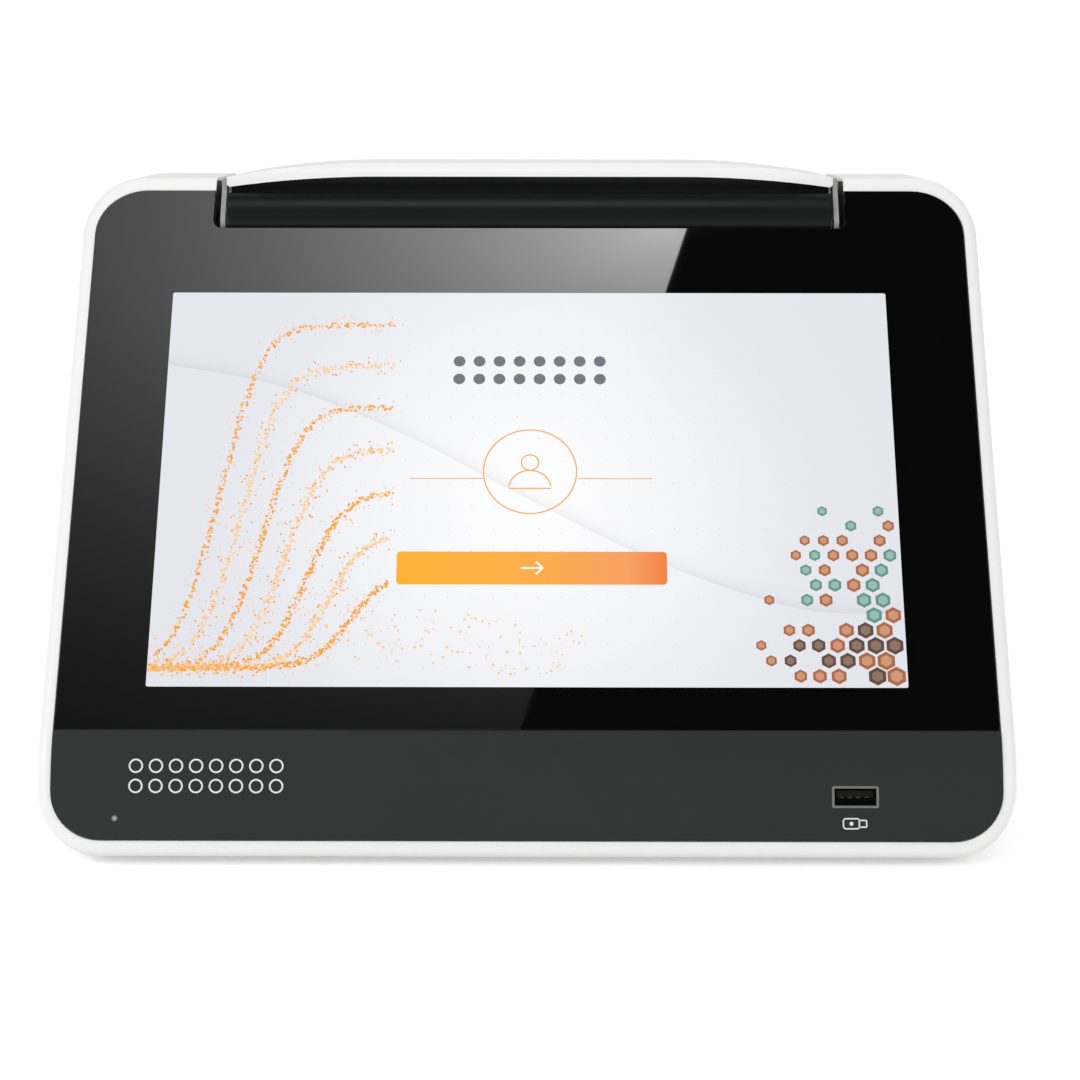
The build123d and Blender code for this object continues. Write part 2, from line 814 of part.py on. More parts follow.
tilt = radians(rocker_tilt)
rocker_plane = Plane(origin=switch_origin, x_dir=(0, cos(tilt), sin(tilt)), z_dir=(1, 0, 0))
with BuildPart() as power_rocker:
    with BuildSketch(rocker_plane):
        with BuildLine():
            Polyline(
                (1.6, 0),
                (3.1, rocker_half - 0.3),
                (-0.5, rocker_half),
                (-4.0, 4.0),
                (-4.0, -4.0),
                (-0.5, -rocker_half),
                (3.1, -rocker_half + 0.3),
                close=True,
            )
        make_face()
    extrude(amount=rocker_width / 2, both=True)
    with BuildSketch(rocker_plane):
        Circle(rocker_pin_radius)
    extrude(amount=5.9, both=True)
power_rocker.part.label = "power_rocker"
export_step(power_rocker.part, "parts/power_rocker.step")

socket_depth = 15.0
with BuildPart() as network_socket:
    with BuildSketch(panel_plane.offset(0.8)):
        with Locations((-socket_x, socket_z)):
            Rectangle(socket_width, socket_height)
    extrude(amount=-socket_depth)
    with BuildSketch(panel_plane.offset(0.8)):
        with Locations((-socket_x, socket_z + 0.4)):
            Rectangle(11.8, 8.0)
            with Locations((0, -4.0)):
                Rectangle(6.0, 3.4, align=(Align.CENTER, Align.MAX))
    extrude(amount=-12.8, mode=Mode.SUBTRACT)
network_socket.part.label = "network_socket"
export_step(network_socket.part, "parts/network_socket.step")

# Front socket on the chin, its tongue and its board
with BuildPart() as usb_shell:
    with BuildSketch(on_chin(usb_x, usb_t, 0.15)):
        RectangleRounded(usb_lip_width, usb_lip_height, 0.6)
    extrude(amount=-0.5)
    with BuildSketch(on_chin(usb_x, usb_t, 0.15)):
        Rectangle(usb_opening_width + 2 * usb_shell_wall, usb_opening_height + 2 * usb_shell_wall)
    extrude(amount=-usb_shell_depth)
    with BuildSketch(on_chin(usb_x, usb_t, 0)):
        Rectangle(usb_opening_width, usb_opening_height)
    extrude(amount=-(usb_shell_depth - 0.4), mode=Mode.SUBTRACT)
usb_shell.part.label = "usb_shell"
export_step(usb_shell.part, "parts/usb_shell.step")

tongue_thickness = 1.9
with BuildPart() as usb_tongue:
    with BuildSketch(on_chin(usb_x, usb_t + 1.0, 1.6)):
        Rectangle(usb_opening_width - 1.4, tongue_thickness)
    extrude(amount=-(usb_shell_depth - 3.6))
    with BuildSketch(on_chin(usb_x, usb_t, usb_shell_depth - 2.6)):
        Rectangle(usb_opening_width, usb_opening_height)
    extrude(amount=-2.15)
usb_tongue.part.label = "usb_tongue"
export_step(usb_tongue.part, "parts/usb_tongue.step")

usb_board_depth = 11.5
usb_board_plane = Plane(
    origin=on_chin(usb_x, usb_t - usb_opening_height / 2 - usb_shell_wall, usb_board_depth / 2 + 4.2).origin,
    x_dir=(1, 0, 0),
    z_dir=(0, cos(radians(chin_slope)), sin(radians(chin_slope))),
)
with BuildPart() as status_light:
    posts([on_chin(light_x, light_t, 0)], light_radius, 0, light_length)
status_light.part.label = "status_light"
export_step(status_light.part, "parts/status_light.step")

with BuildPart() as small_boards:
    with BuildSketch(usb_board_plane):
        RectangleRounded(22.0, usb_board_depth, 1.0)
    extrude(amount=-1.2)
    with BuildSketch(on_chin(light_x, light_t, light_length)):
        RectangleRounded(12.0, 9.0, 1.0)
    extrude(amount=-1.2)
    with BuildSketch(panel_plane.offset(0.8 - socket_depth)):
        with Locations((-socket_x, socket_z)):
            Rectangle(24.0, 30.0)
    extrude(amount=-1.6)
    with BuildSketch(on_glass(0, driver_s, bracket_back)):
        Rectangle(driver_length, driver_width)
    extrude(amount=-driver_thickness)
    with BuildSketch(on_glass(0, driver_s, bracket_back + driver_thickness)):
        with GridLocations(30, 0, 4, 1):
            Rectangle(9, 9)
    extrude(amount=-1.2)
small_boards.part.label = "small_boards"
export_step(small_boards.part, "parts/small_boards.step")

# Sample block with two rows of wells, and the cooling stack under it
pad_thickness = 0.3
block_low_z = block_top_z - block_height
peltier_top_z = block_low_z - pad_thickness
peltier_low_z = peltier_top_z - peltier_thickness
sink_top_z = peltier_low_z - pad_thickness
sink_base = 7.0
sink_low_z = 80.0
sink_half = chassis_half - 0.2
sink_depth = 45.0
sink_y = block_y + 1.5
fin_pitch = 6.0
fin_count = 24
fin_thickness = 1.2
peltier_length = 34.0
peltier_depth = 28.0
peltier_x = 18.5
block_screw_x = block_length / 2 - 3.0
block_screw_planes = [
    Plane(origin=(x, block_y, block_top_z - 2.0), x_dir=(1, 0, 0), z_dir=(0, 0, 1))
    for x in (-block_screw_x, block_screw_x)
]
guide_radius = 0.9
guide_gap = 0.1
front_row_y = block_y - well_pitch / 2
rear_row_y = block_y + well_pitch / 2
short_guide_z = block_top_z - well_depth + 1.5
long_guide_z = block_top_z - well_depth - 2.1
guide_plate_front = block_y - block_depth / 2 - 8.0
guide_plate_thickness = 4.0
column_x = [(i - (well_columns - 1) / 2) * well_pitch for i in range(well_columns)]
short_planes = [
    Plane(origin=(x, guide_plate_front, short_guide_z), x_dir=(1, 0, 0), z_dir=(0, -1, 0)) for x in column_x
]
long_planes = [
    Plane(origin=(x, guide_plate_front, long_guide_z), x_dir=(1, 0, 0), z_dir=(0, -1, 0)) for x in column_x
]
well_radius_low = well_bottom_radius + (well_top_radius - well_bottom_radius) * 1.5 / well_depth
short_reach = front_row_y - guide_plate_front
long_reach = rear_row_y - guide_plate_front

with BuildPart(Plane.XY.offset(block_low_z)) as sample_block:
    with Locations((0, block_y, 0)):
        Box(block_length, block_depth, block_height, align=(Align.CENTER, Align.CENTER, Align.MIN))
    fillet(sample_block.edges().filter_by(Axis.Z), radius=3.0)
    chamfer(sample_block.faces().sort_by(Axis.Z)[-1].edges(), length=0.5)
    with Locations((0, block_y, block_height)):
        with GridLocations(well_pitch, well_pitch, well_columns, well_rows):
            Cone(
                well_bottom_radius,
                well_top_radius,
                well_depth,
                align=(Align.CENTER, Align.CENTER, Align.MAX),
                mode=Mode.SUBTRACT,
            )
    drill(short_planes, guide_radius + guide_gap, 1, short_reach)
    drill(long_planes, guide_radius + guide_gap, 1, long_reach + guide_radius + 0.3)
    drill(
        [Plane(origin=(x, rear_row_y, long_guide_z)) for x in column_x],
        0.8,
        3,
        0,
    )
    drill(block_screw_planes, 1.7, 0, block_height)
    drill(block_screw_planes, 3.0, 3, 0)
sample_block.part.label = "sample_block"
export_step(sample_block.part, "parts/sample_block.step")

with BuildPart() as light_guides:
    posts(short_planes, guide_radius, 0, short_reach - well_radius_low - 0.3)
    posts(long_planes, guide_radius, 0, long_reach + guide_radius)
light_guides.part.label = "light_guides"
export_step(light_guides.part, "parts/light_guides.step")

guide_plate_low = long_guide_z - 4.5
with BuildPart() as guide_plate:
    add(
        slab(
            (-chassis_half + 0.1, guide_plate_front, guide_plate_low),
            (chassis_half - 0.1, guide_plate_front + guide_plate_thickness, short_guide_z + 5.0),
        )
    )
    drill(short_planes, guide_radius + 0.02, 1, 10)
    drill(long_planes, guide_radius + 0.02, 1, 10)
guide_plate.part.label = "guide_plate"
export_step(guide_plate.part, "parts/guide_plate.step")

with BuildPart() as thermal_pads:
    for low in (peltier_top_z, sink_top_z):
        for side in (-1, 1):
            x = side * peltier_x
            add(
                slab(
                    (x - peltier_length / 2, block_y - peltier_depth / 2, low),
                    (x + peltier_length / 2, block_y + peltier_depth / 2, low + pad_thickness),
                )
            )
thermal_pads.part.label = "thermal_pads"
export_step(thermal_pads.part, "parts/thermal_pads.step")

with BuildPart() as peltier_modules:
    for side in (-1, 1):
        x = side * peltier_x
        for low in (peltier_low_z, peltier_top_z - 0.8):
            add(
                slab(
                    (x - peltier_length / 2, block_y - peltier_depth / 2, low),
                    (x + peltier_length / 2, block_y + peltier_depth / 2, low + 0.8),
                )
            )
        add(
            slab(
                (x - peltier_length / 2 + 1, block_y - peltier_depth / 2 + 1, peltier_low_z + 0.7),
                (x + peltier_length / 2 - 1, block_y + peltier_depth / 2 - 1, peltier_top_z - 0.7),
            )
        )
peltier_modules.part.label = "peltier_modules"
export_step(peltier_modules.part, "parts/peltier_modules.step")

with BuildPart() as heat_sink:
    add(
        slab(
            (-sink_half, sink_y - sink_depth / 2, sink_top_z - sink_base),
            (sink_half, sink_y + sink_depth / 2, sink_top_z),
        )
    )
    with BuildSketch(Plane.XY.offset(sink_low_z)):
        with Locations((0, sink_y)):
            with GridLocations(fin_pitch, 1, fin_count, 1):
                Rectangle(fin_thickness, sink_depth)
    extrude(amount=sink_top_z - sink_base - sink_low_z + 0.5)
    drill(block_screw_planes, 1.45, -block_height + 1, block_height + 10)
heat_sink.part.label = "heat_sink"
export_step(heat_sink.part, "parts/heat_sink.step")

# Fan behind the fins
fan_front_y = panel_inner_y - fan_depth
duct_front_y = sink_y + sink_depth / 2
fan_plane = Plane(origin=(0, fan_front_y, fan_z), x_dir=(-1, 0, 0), z_dir=(0, 1, 0))
fan_hub_radius = 12.5
fan_blade_count = 7
fan_shaft_radius = 1.5
fan_stay_depth = 2.4
with BuildPart() as air_duct:
    add(slab((-sink_half, duct_front_y, 60.0), (sink_half, fan_front_y, 124.0)))
    with BuildSketch(fan_plane.offset(-8)):
        Circle(fan_bore)
    extrude(amount=10, mode=Mode.SUBTRACT)
air_duct.part.label = "air_duct"
export_step(air_duct.part, "parts/air_duct.step")

with BuildPart() as fan_frame:
    with BuildSketch(fan_plane):
        RectangleRounded(fan_size, fan_size, 3.0)
        Circle(fan_bore, mode=Mode.SUBTRACT)
    extrude(amount=fan_depth)
    with BuildSketch(fan_plane.offset(fan_depth)):
        Circle(fan_hub_radius - 1)
        with PolarLocations(0, 4, start_angle=45):
            with Locations((fan_bore / 2 + 2, 0)):
                Rectangle(fan_bore, 3.0)
    extrude(amount=-fan_stay_depth)
    with BuildSketch(fan_plane.offset(fan_depth)):
        Circle(3.2)
    extrude(amount=-(fan_depth - 3.5))
    with BuildSketch(fan_plane.offset(fan_depth + 1)):
        Circle(fan_shaft_radius + pin_fit)
    extrude(amount=-(fan_depth + 2), mode=Mode.SUBTRACT)
    drill(fan_planes, 1.65, 0, 20)
fan_frame.part.label = "fan_frame"
export_step(fan_frame.part, "parts/fan_frame.step")

rotor_front = 0.8
rotor_depth = 10.6
with BuildPart() as fan_rotor:
    with BuildSketch(fan_plane.offset(rotor_front)):
        Circle(fan_hub_radius)
    extrude(amount=rotor_depth)
    with BuildSketch(fan_plane.offset(rotor_front + 1.6)):
        Circle(fan_hub_radius - 1.6)
    extrude(amount=rotor_depth, mode=Mode.SUBTRACT)
    with BuildSketch(fan_plane.offset(rotor_front)):
        Circle(fan_shaft_radius)
    extrude(amount=fan_depth - rotor_front - 0.6)
    for turn in range(fan_blade_count):
        angle = radians(360 / fan_blade_count * turn)
        out = (-cos(angle), 0, sin(angle))
        across = Vector(-sin(angle), 0, -cos(angle)) * 0.75 + Vector(0, 1, 0) * 0.66
        root = Vector(out) * (fan_hub_radius - 0.8)
        middle_y = fan_front_y + rotor_front + rotor_depth / 2
        start = Vector(root.X, middle_y, fan_z + root.Z)
        blade_plane = Plane(origin=start, x_dir=across.normalized(), z_dir=out)
        with BuildSketch(blade_plane):
            Rectangle(12.0, 1.1)
        extrude(amount=fan_bore - fan_hub_radius - 1.0 + 0.8)
fan_rotor.part.label = "fan_rotor"
export_step(fan_rotor.part, "parts/fan_rotor.step")

# Reading head: it slides on two rods and is pulled by a toothed belt
rod_radius = 2.5
rod_z = 112.0
rod_front_y = 26.0
rod_rear_y = 38.0
rod_places = (rod_front_y, rod_rear_y)
bush_radius = 4.0
bush_length = 10.0
carriage_half = 17.0
carriage_home_x = -44.0
clamp_half = 4.0
carriage_low_z = 106.0
carriage_top_z = 119.5
carriage_front_y = 21.0
carriage_rear_y = guide_plate_front - 0.6
tower_half = 13.0
tower_front_y = 29.0
tower_top_z = 138.0
lens_radius = 4.6
lens_z = (short_guide_z + long_guide_z) / 2
pulley_x = 58.0
pulley_y = (rod_front_y + rod_rear_y) / 2
belt_inner = 6.4
belt_thickness = 1.2
belt_low_z = 98.0
belt_height = 6.0
pulley_gap = 0.3
pulley_pin_radius = 1.5
motor_size = 28.0
motor_height = 30.0
mount_z = 94.0
mount_thickness = 2.0
strand_y = pulley_y + belt_inner + belt_thickness / 2
cheek_top_z = ledge_low_z - 0.3

cheek_corners = [
    (chassis_front_y, chassis_floor_z),
    (chassis_front_y, 120.0),
    (deck_front_y + 2.0, 138.5),
    (deck_front_y + 2.0, cheek_top_z),
    (deck_rear_y - 4.0, cheek_top_z),
    (chassis_rear_y, cheek_top_z - 8.0),
    (chassis_rear_y, chassis_floor_z),
]
with BuildPart() as chassis:
    for side in (-1, 1):
        with BuildSketch(Plane.YZ.offset(side * chassis_half)):
            with BuildLine():
                Polyline(*cheek_corners, close=True)
            make_face()
            with Locations((chassis_front_y + 22, 52.0), (chassis_front_y + 52, 52.0)):
                RectangleRounded(18.0, 40.0, 5.0, mode=Mode.SUBTRACT)
            with Locations(*[(y, rod_z) for y in rod_places]):
                Circle(rod_radius + 0.02, mode=Mode.SUBTRACT)
        extrude(amount=side * chassis_thickness)
    add(
        slab(
            (-chassis_half - chassis_thickness, chassis_front_y, chassis_floor_z),
            (
                chassis_half + chassis_thickness,
                chassis_rear_y,
                chassis_floor_z + chassis_thickness,
            ),
        )
    )
    drill(chassis_planes, 1.6, 1, 4)
chassis.part.label = "chassis"
export_step(chassis.part, "parts/chassis.step")

rod_end_x = chassis_half + chassis_thickness
with BuildPart() as scan_rods:
    with BuildSketch(Plane.YZ.offset(-rod_end_x - 1.0)):
        with Locations(*[(y, rod_z) for y in rod_places]):
            Circle(rod_radius)
    extrude(amount=2 * rod_end_x + 2.0)
scan_rods.part.label = "scan_rods"
export_step(scan_rods.part, "parts/scan_rods.step")

carriage_plane = Plane.YZ.offset(carriage_home_x)
with BuildPart() as scan_carriage:
    add(
        slab(
            (carriage_home_x - carriage_half, carriage_front_y, carriage_low_z),
            (carriage_home_x + carriage_half, carriage_rear_y, carriage_top_z),
        )
    )
    add(
        slab(
            (carriage_home_x - tower_half, tower_front_y, carriage_top_z - 1),
            (carriage_home_x + tower_half, carriage_rear_y, tower_top_z),
        )
    )
    fillet(scan_carriage.edges().filter_by(Axis.Z), radius=1.2)
    add(
        slab(
            (carriage_home_x - clamp_half, strand_y - 2.6, belt_low_z - 0.4),
            (carriage_home_x + clamp_half, strand_y + 2.4, carriage_low_z + 1),
        )
    )
    add(
        slab(
            (
                carriage_home_x - clamp_half - 1,
                strand_y - belt_thickness / 2 - pulley_gap,
                belt_low_z - 1,
            ),
            (
                carriage_home_x + clamp_half + 1,
                strand_y + belt_thickness / 2 + pulley_gap,
                belt_low_z + belt_height + 0.4,
            ),
        ),
        mode=Mode.SUBTRACT,
    )
    add(
        slab(
            (carriage_home_x - tower_half + 2.5, tower_front_y + 1.6, carriage_top_z + 1),
            (carriage_home_x + tower_half - 2.5, carriage_rear_y - 3.6, tower_top_z - 1.6),
        ),
        mode=Mode.SUBTRACT,
    )
    with BuildSketch(carriage_plane):
        with Locations(*[(y, rod_z) for y in rod_places]):
            Circle(bush_radius)
    extrude(amount=40, both=True, mode=Mode.SUBTRACT)
    drill([Plane(origin=(carriage_home_x, carriage_rear_y, lens_z), z_dir=(0, 1, 0))], lens_radius, 1, 5)
scan_carriage.part.label = "scan_carriage"
export_step(scan_carriage.part, "parts/scan_carriage.step")

with BuildPart() as scan_bushes:
    for side in (-1, 1):
        near = carriage_home_x + side * carriage_half
        with BuildSketch(Plane.YZ.offset(near)):
            with Locations(*[(y, rod_z) for y in rod_places]):
                Circle(bush_radius)
                Circle(rod_radius + pin_fit, mode=Mode.SUBTRACT)
        extrude(amount=-side * bush_length)
scan_bushes.part.label = "scan_bushes"
export_step(scan_bushes.part, "parts/scan_bushes.step")

with BuildPart() as scan_lenses:
    with BuildSketch(Plane(origin=(carriage_home_x, carriage_rear_y - 0.3, lens_z), z_dir=(0, 1, 0))):
        Circle(lens_radius)
    extrude(amount=-2.4)
    with BuildSketch(Plane(origin=(carriage_home_x, tower_front_y + 6.6, lens_z), z_dir=(0, 1, 0))):
        Circle(lens_radius - 0.7)
    extrude(amount=-1.0)
    add(
        slab(
            (carriage_home_x - tower_half + 2.5, tower_front_y + 5.0, carriage_top_z + 1),
            (carriage_home_x + tower_half - 2.5, tower_front_y + 5.6, tower_top_z - 1.6),
        )
    )
scan_lenses.part.label = "scan_lenses"
export_step(scan_lenses.part, "parts/scan_lenses.step")

with BuildPart() as scan_lamp_board:
    add(
        slab(
            (carriage_home_x - tower_half + 2.5, tower_front_y + 1.6, carriage_top_z + 1),
            (carriage_home_x + tower_half - 2.5, tower_front_y + 2.8, tower_top_z - 1.6),
        )
    )
    with BuildSketch(Plane(origin=(carriage_home_x, tower_front_y + 2.8, lens_z), z_dir=(0, 1, 0))):
        with GridLocations(5, 4, 2, 2):
            Rectangle(2.0, 2.0)
    extrude(amount=0.8)
scan_lamp_board.part.label = "scan_lamp_board"
export_step(scan_lamp_board.part, "parts/scan_lamp_board.step")

with BuildPart() as scan_brackets:
    add(
        slab(
            (-chassis_half, pulley_y - 16, mount_z),
            (-pulley_x + 16, pulley_y + 13, mount_z + mount_thickness),
        )
    )
    add(
        slab(
            (-chassis_half, pulley_y - 16, mount_z - 14),
            (-chassis_half + mount_thickness, pulley_y + 13, mount_z + 1),
        )
    )
    drill([Plane(origin=(-pulley_x, pulley_y, mount_z + mount_thickness))], 11.2, 1, 4)
    add(
        slab(
            (pulley_x - 10, pulley_y - 11, mount_z),
            (chassis_half, pulley_y + 11, mount_z + mount_thickness),
        )
    )
    add(
        slab(
            (chassis_half - mount_thickness, pulley_y - 11, mount_z - 14),
            (chassis_half, pulley_y + 11, mount_z + 1),
        )
    )
    posts([Plane(origin=(pulley_x, pulley_y, belt_low_z + belt_height + 1.6))], pulley_pin_radius, 0, 10.5)
    for side in (-1, 1):
        with BuildSketch(Plane.YZ.offset(side * rod_end_x)):
            with Locations((pulley_y, rod_z)):
                RectangleRounded(rod_rear_y - rod_front_y + 14, 12.0, 3.0)
            with Locations(*[(y, rod_z) for y in rod_places]):
                Circle(rod_radius + 0.02, mode=Mode.SUBTRACT)
        extrude(amount=side * 1.2)
scan_brackets.part.label = "scan_brackets"
export_step(scan_brackets.part, "parts/scan_brackets.step")

with BuildPart(Plane.XY.offset(mount_z - motor_height)) as scan_motor:
    with Locations((-pulley_x, pulley_y, 0)):
        Box(motor_size, motor_size, motor_height, align=(Align.CENTER, Align.CENTER, Align.MIN))
    chamfer(scan_motor.edges().filter_by(Axis.Z), length=2.5)
    posts([Plane(origin=(-pulley_x, pulley_y, mount_z))], 11.0, mount_thickness - 0.2, 0.5)
    drill([Plane(origin=(-pulley_x, pulley_y, mount_z))], pulley_pin_radius + pin_fit, 3, 24)
scan_motor.part.label = "scan_motor"
export_step(scan_motor.part, "parts/scan_motor.step")

for name, x in (("drive_pulley", -pulley_x), ("idler_pulley", pulley_x)):
    pulley_plane = Plane(origin=(x, pulley_y, belt_low_z - 1.0))
    tooth_radius = belt_inner - pulley_gap
    with BuildPart() as pulley:
        with BuildSketch(pulley_plane):
            Circle(belt_inner + belt_thickness + 0.4)
        extrude(amount=0.7)
        with BuildSketch(pulley_plane):
            Circle(tooth_radius)
            with PolarLocations(tooth_radius, 20):
                Circle(0.55, mode=Mode.SUBTRACT)
        extrude(amount=belt_height + 2.0)
        with BuildSketch(pulley_plane.offset(belt_height + 1.3)):
            Circle(belt_inner + belt_thickness + 0.4)
        extrude(amount=0.7)
        if name == "drive_pulley":
            with BuildSketch(pulley_plane):
                Circle(pulley_pin_radius)
            extrude(amount=-20.0)
        else:
            drill([pulley_plane], pulley_pin_radius + pin_fit, 12, 2)
    pulley.part.label = name
    export_step(pulley.part, f"parts/{name}.step")

with BuildPart() as scan_belt:
    with BuildSketch(Plane.XY.offset(belt_low_z)):
        with Locations((0, pulley_y)):
            SlotCenterToCenter(2 * pulley_x, 2 * (belt_inner + belt_thickness))
            SlotCenterToCenter(2 * pulley_x, 2 * belt_inner, mode=Mode.SUBTRACT)
    extrude(amount=belt_height)
scan_belt.part.label = "scan_belt"
export_step(scan_belt.part, "parts/scan_belt.step")

# Control board and power supply on the base tray
board_top_z = board_z + board_thickness
with BuildPart(Plane.XY.offset(board_z)) as main_board:
    with Locations((0, board_y, 0)):
        Box(board_width, board_depth, board_thickness, align=(Align.CENTER, Align.CENTER, Align.MIN))
    drill(board_planes, 1.6, 1, 4)
    bottom = (Align.CENTER, Align.CENTER, Align.MIN)
    with Locations((0, 0, board_thickness)):
        with Locations((-22, board_y + 6, 0)):
            Box(24, 24, 2.0, align=bottom)
        with Locations((-22, board_y + 6, 2.0)):
            Box(22, 22, 1.5, align=bottom)
            with GridLocations(3.6, 1, 6, 1):
                Box(1.2, 22, 9.0, align=bottom)
        with Locations((10, board_y + 10, 0)):
            with GridLocations(14, 12, 2, 2):
                Box(11, 8, 1.2, align=bottom)
        with Locations((44, board_y - 4, 0)):
            with GridLocations(1, 12, 1, 4):
                Cylinder(4.0, 9.0, align=bottom)
        with Locations((-8, board_y - 30, 0)):
            with GridLocations(19, 1, 4, 1):
                Box(14, 6, 7.0, align=bottom)
        with Locations((-50, board_y - 4, 0)):
            Box(8, 34, 6.0, align=bottom)
main_board.part.label = "main_board"
export_step(main_board.part, "parts/main_board.step")

supply_low_z = base_floor_z + base_thickness
supply_low = (supply_x - supply_width / 2, supply_y - supply_length / 2, supply_low_z)
supply_high = (supply_x + supply_width / 2, supply_y + supply_length / 2, supply_low_z + supply_height)
with BuildPart() as power_supply:
    add(slab(supply_low, supply_high))
    fillet(power_supply.edges().filter_by(Axis.Y), radius=1.5)
    with BuildSketch(Plane.XY.offset(supply_low_z + supply_height)):
        with Locations((supply_x, supply_y)):
            with GridLocations(1, 6.0, 1, 14):
                SlotOverall(supply_width - 10, 2.6)
    extrude(amount=-1.2, mode=Mode.SUBTRACT)
power_supply.part.label = "power_supply"
export_step(power_supply.part, "parts/power_supply.step")

# Flat cable from the display driver down to the control board
ribbon_width = 14.0
ribbon_thickness = 0.4
ribbon_x = 1.5
ribbon_top = on_glass(0, driver_s, bracket_back + driver_thickness + 0.1)
ribbon_low = (board_y - 30, board_top_z + 7.0 + 0.1)
ribbon_start = (ribbon_top.origin.Y, ribbon_top.origin.Z)
with BuildPart() as display_ribbon:
    with BuildSketch(Plane.YZ.offset(ribbon_x - ribbon_width / 2)):
        with BuildLine():
            Bezier(
                ribbon_start,
                along(ribbon_start, glass_slope - 90, 7.0),
                (ribbon_low[0], ribbon_low[1] + 8.0),
                ribbon_low,
            )
        trace(line_width=ribbon_thickness)
    extrude(amount=ribbon_width)
display_ribbon.part.label = "display_ribbon"
export_step(display_ribbon.part, "parts/display_ribbon.step")

# Deck under the lid
collar_gap = 0.3
collar_half_x = block_length / 2 + collar_width
collar_half_y = block_depth / 2 + collar_depth
collar_low_z = block_top_z - 6.0
keeper_radius = 5.0
keeper_thickness = 1.5
keeper_x = 92.0
keeper_y = deck_front_y + 13.5
keeper_planes = [
    Plane(origin=(x, keeper_y, deck_z), x_dir=(1, 0, 0), z_dir=(0, 0, 1)) for x in (-keeper_x, keeper_x)
]
deck_edge_gap = 0.3
with BuildPart() as well_deck:
    with BuildSketch(Plane.XY.offset(deck_low_z)):
        with Locations((0, (deck_front_y + deck_rear_y) / 2)):
            Rectangle(
                2 * (notch_half - deck_edge_gap),
                deck_rear_y - deck_front_y - 2 * deck_edge_gap,
            )
        with Locations((0, block_y)):
            RectangleRounded(2 * collar_half_x, 2 * collar_half_y, 4.0, mode=Mode.SUBTRACT)
    extrude(amount=deck_thickness)
    drill(deck_screw_planes, deck_screw_radius + 0.1, 1, 5)
    drill(keeper_planes, keeper_radius, 1, keeper_thickness)
well_deck.part.label = "well_deck"
export_step(well_deck.part, "parts/well_deck.step")

with BuildPart() as block_collar:
    with BuildSketch(Plane.XY.offset(collar_low_z)):
        with Locations((0, block_y)):
            RectangleRounded(2 * collar_half_x, 2 * collar_half_y, 4.0)
            RectangleRounded(
                block_length + 2 * collar_gap,
                block_depth + 2 * collar_gap,
                3.0 + collar_gap,
                mode=Mode.SUBTRACT,
            )
    extrude(amount=deck_z + 0.6 - collar_low_z)
    inner_edges = block_collar.faces().sort_by(Axis.Z)[-1].inner_wires()[0].edges()
    chamfer(inner_edges, length=1.2)
block_collar.part.label = "block_collar"
export_step(block_collar.part, "parts/block_collar.step")

seal_width = 1.5
seal_height = 2.0
with BuildPart() as deck_seal:
    with BuildSketch(Plane.XY.offset(deck_low_z - seal_height)):
        with Locations((0, block_y)):
            RectangleRounded(
                2 * (collar_half_x + seal_width),
                2 * (collar_half_y + seal_width),
                4.0 + seal_width,
            )
            RectangleRounded(2 * collar_half_x, 2 * collar_half_y, 4.0, mode=Mode.SUBTRACT)
    extrude(amount=seal_height)
    fillet(deck_seal.faces().sort_by(Axis.Z)[0].outer_wire().edges(), radius=0.8)
deck_seal.part.label = "deck_seal"
export_step(deck_seal.part, "parts/deck_seal.step")

with BuildPart() as lid_keepers:
    posts(keeper_planes, keeper_radius, 0, keeper_thickness)
lid_keepers.part.label = "lid_keepers"
export_step(lid_keepers.part, "parts/lid_keepers.step")

# Lid shell: an arched top over end walls that follow the case, and a hinge barrel
lid_front_y = deck_front_y + 0.5
lip_angle = 80.0
lip_depth = 3.0
lip_radius = 5.5
lip_low_rise = 0.6  # middle of the lip's lower edge over the case's own slope
lip_low_drop = 2.8  # its ends under that slope
crown_radius = 20.0  # the top curves down to the hinge barrel
slope_up = (sin(radians(top_slope)), cos(radians(top_slope)))
slope_back = (cos(radians(top_slope)), -sin(radians(top_slope)))


def arch_block(inset_side, rise, end_rise):
    """Everything under an arch that runs along the top slope of the case."""
    half = lid_half - inset_side
    high = rise
    low = end_rise
    span = half - lid_flat_half
    arc_radius = (span**2 + (high - low) ** 2) / (2 * (high - low))
    part_way = 0.5 * asin(span / arc_radius)
    middle = (
        lid_flat_half + arc_radius * sin(part_way),
        high - arc_radius * (1 - cos(part_way)),
    )
    with BuildPart() as block:
        with BuildSketch(
            Plane(origin=(0, *ridge), x_dir=(1, 0, 0), z_dir=(0, -slope_back[0], -slope_back[1]))
        ):
            with BuildLine():
                Line((-lid_flat_half, high), (lid_flat_half, high))
                ThreePointArc((lid_flat_half, high), middle, (half, low))
                Line((half, low), (half, -60))
                Line((half, -60), (-half, -60))
                Line((-half, -60), (-half, low))
                ThreePointArc((-half, low), (-middle[0], middle[1]), (-lid_flat_half, high))
            make_face()
        extrude(amount=130, both=True)
        if inset_side == 0:
            ends = block.edges().filter_by(lambda e: abs(abs(e.center().X) - half) < 0.01)
            fillet(ends.sort_by(Axis.Z)[-2:], radius=1.5)
    return block.part


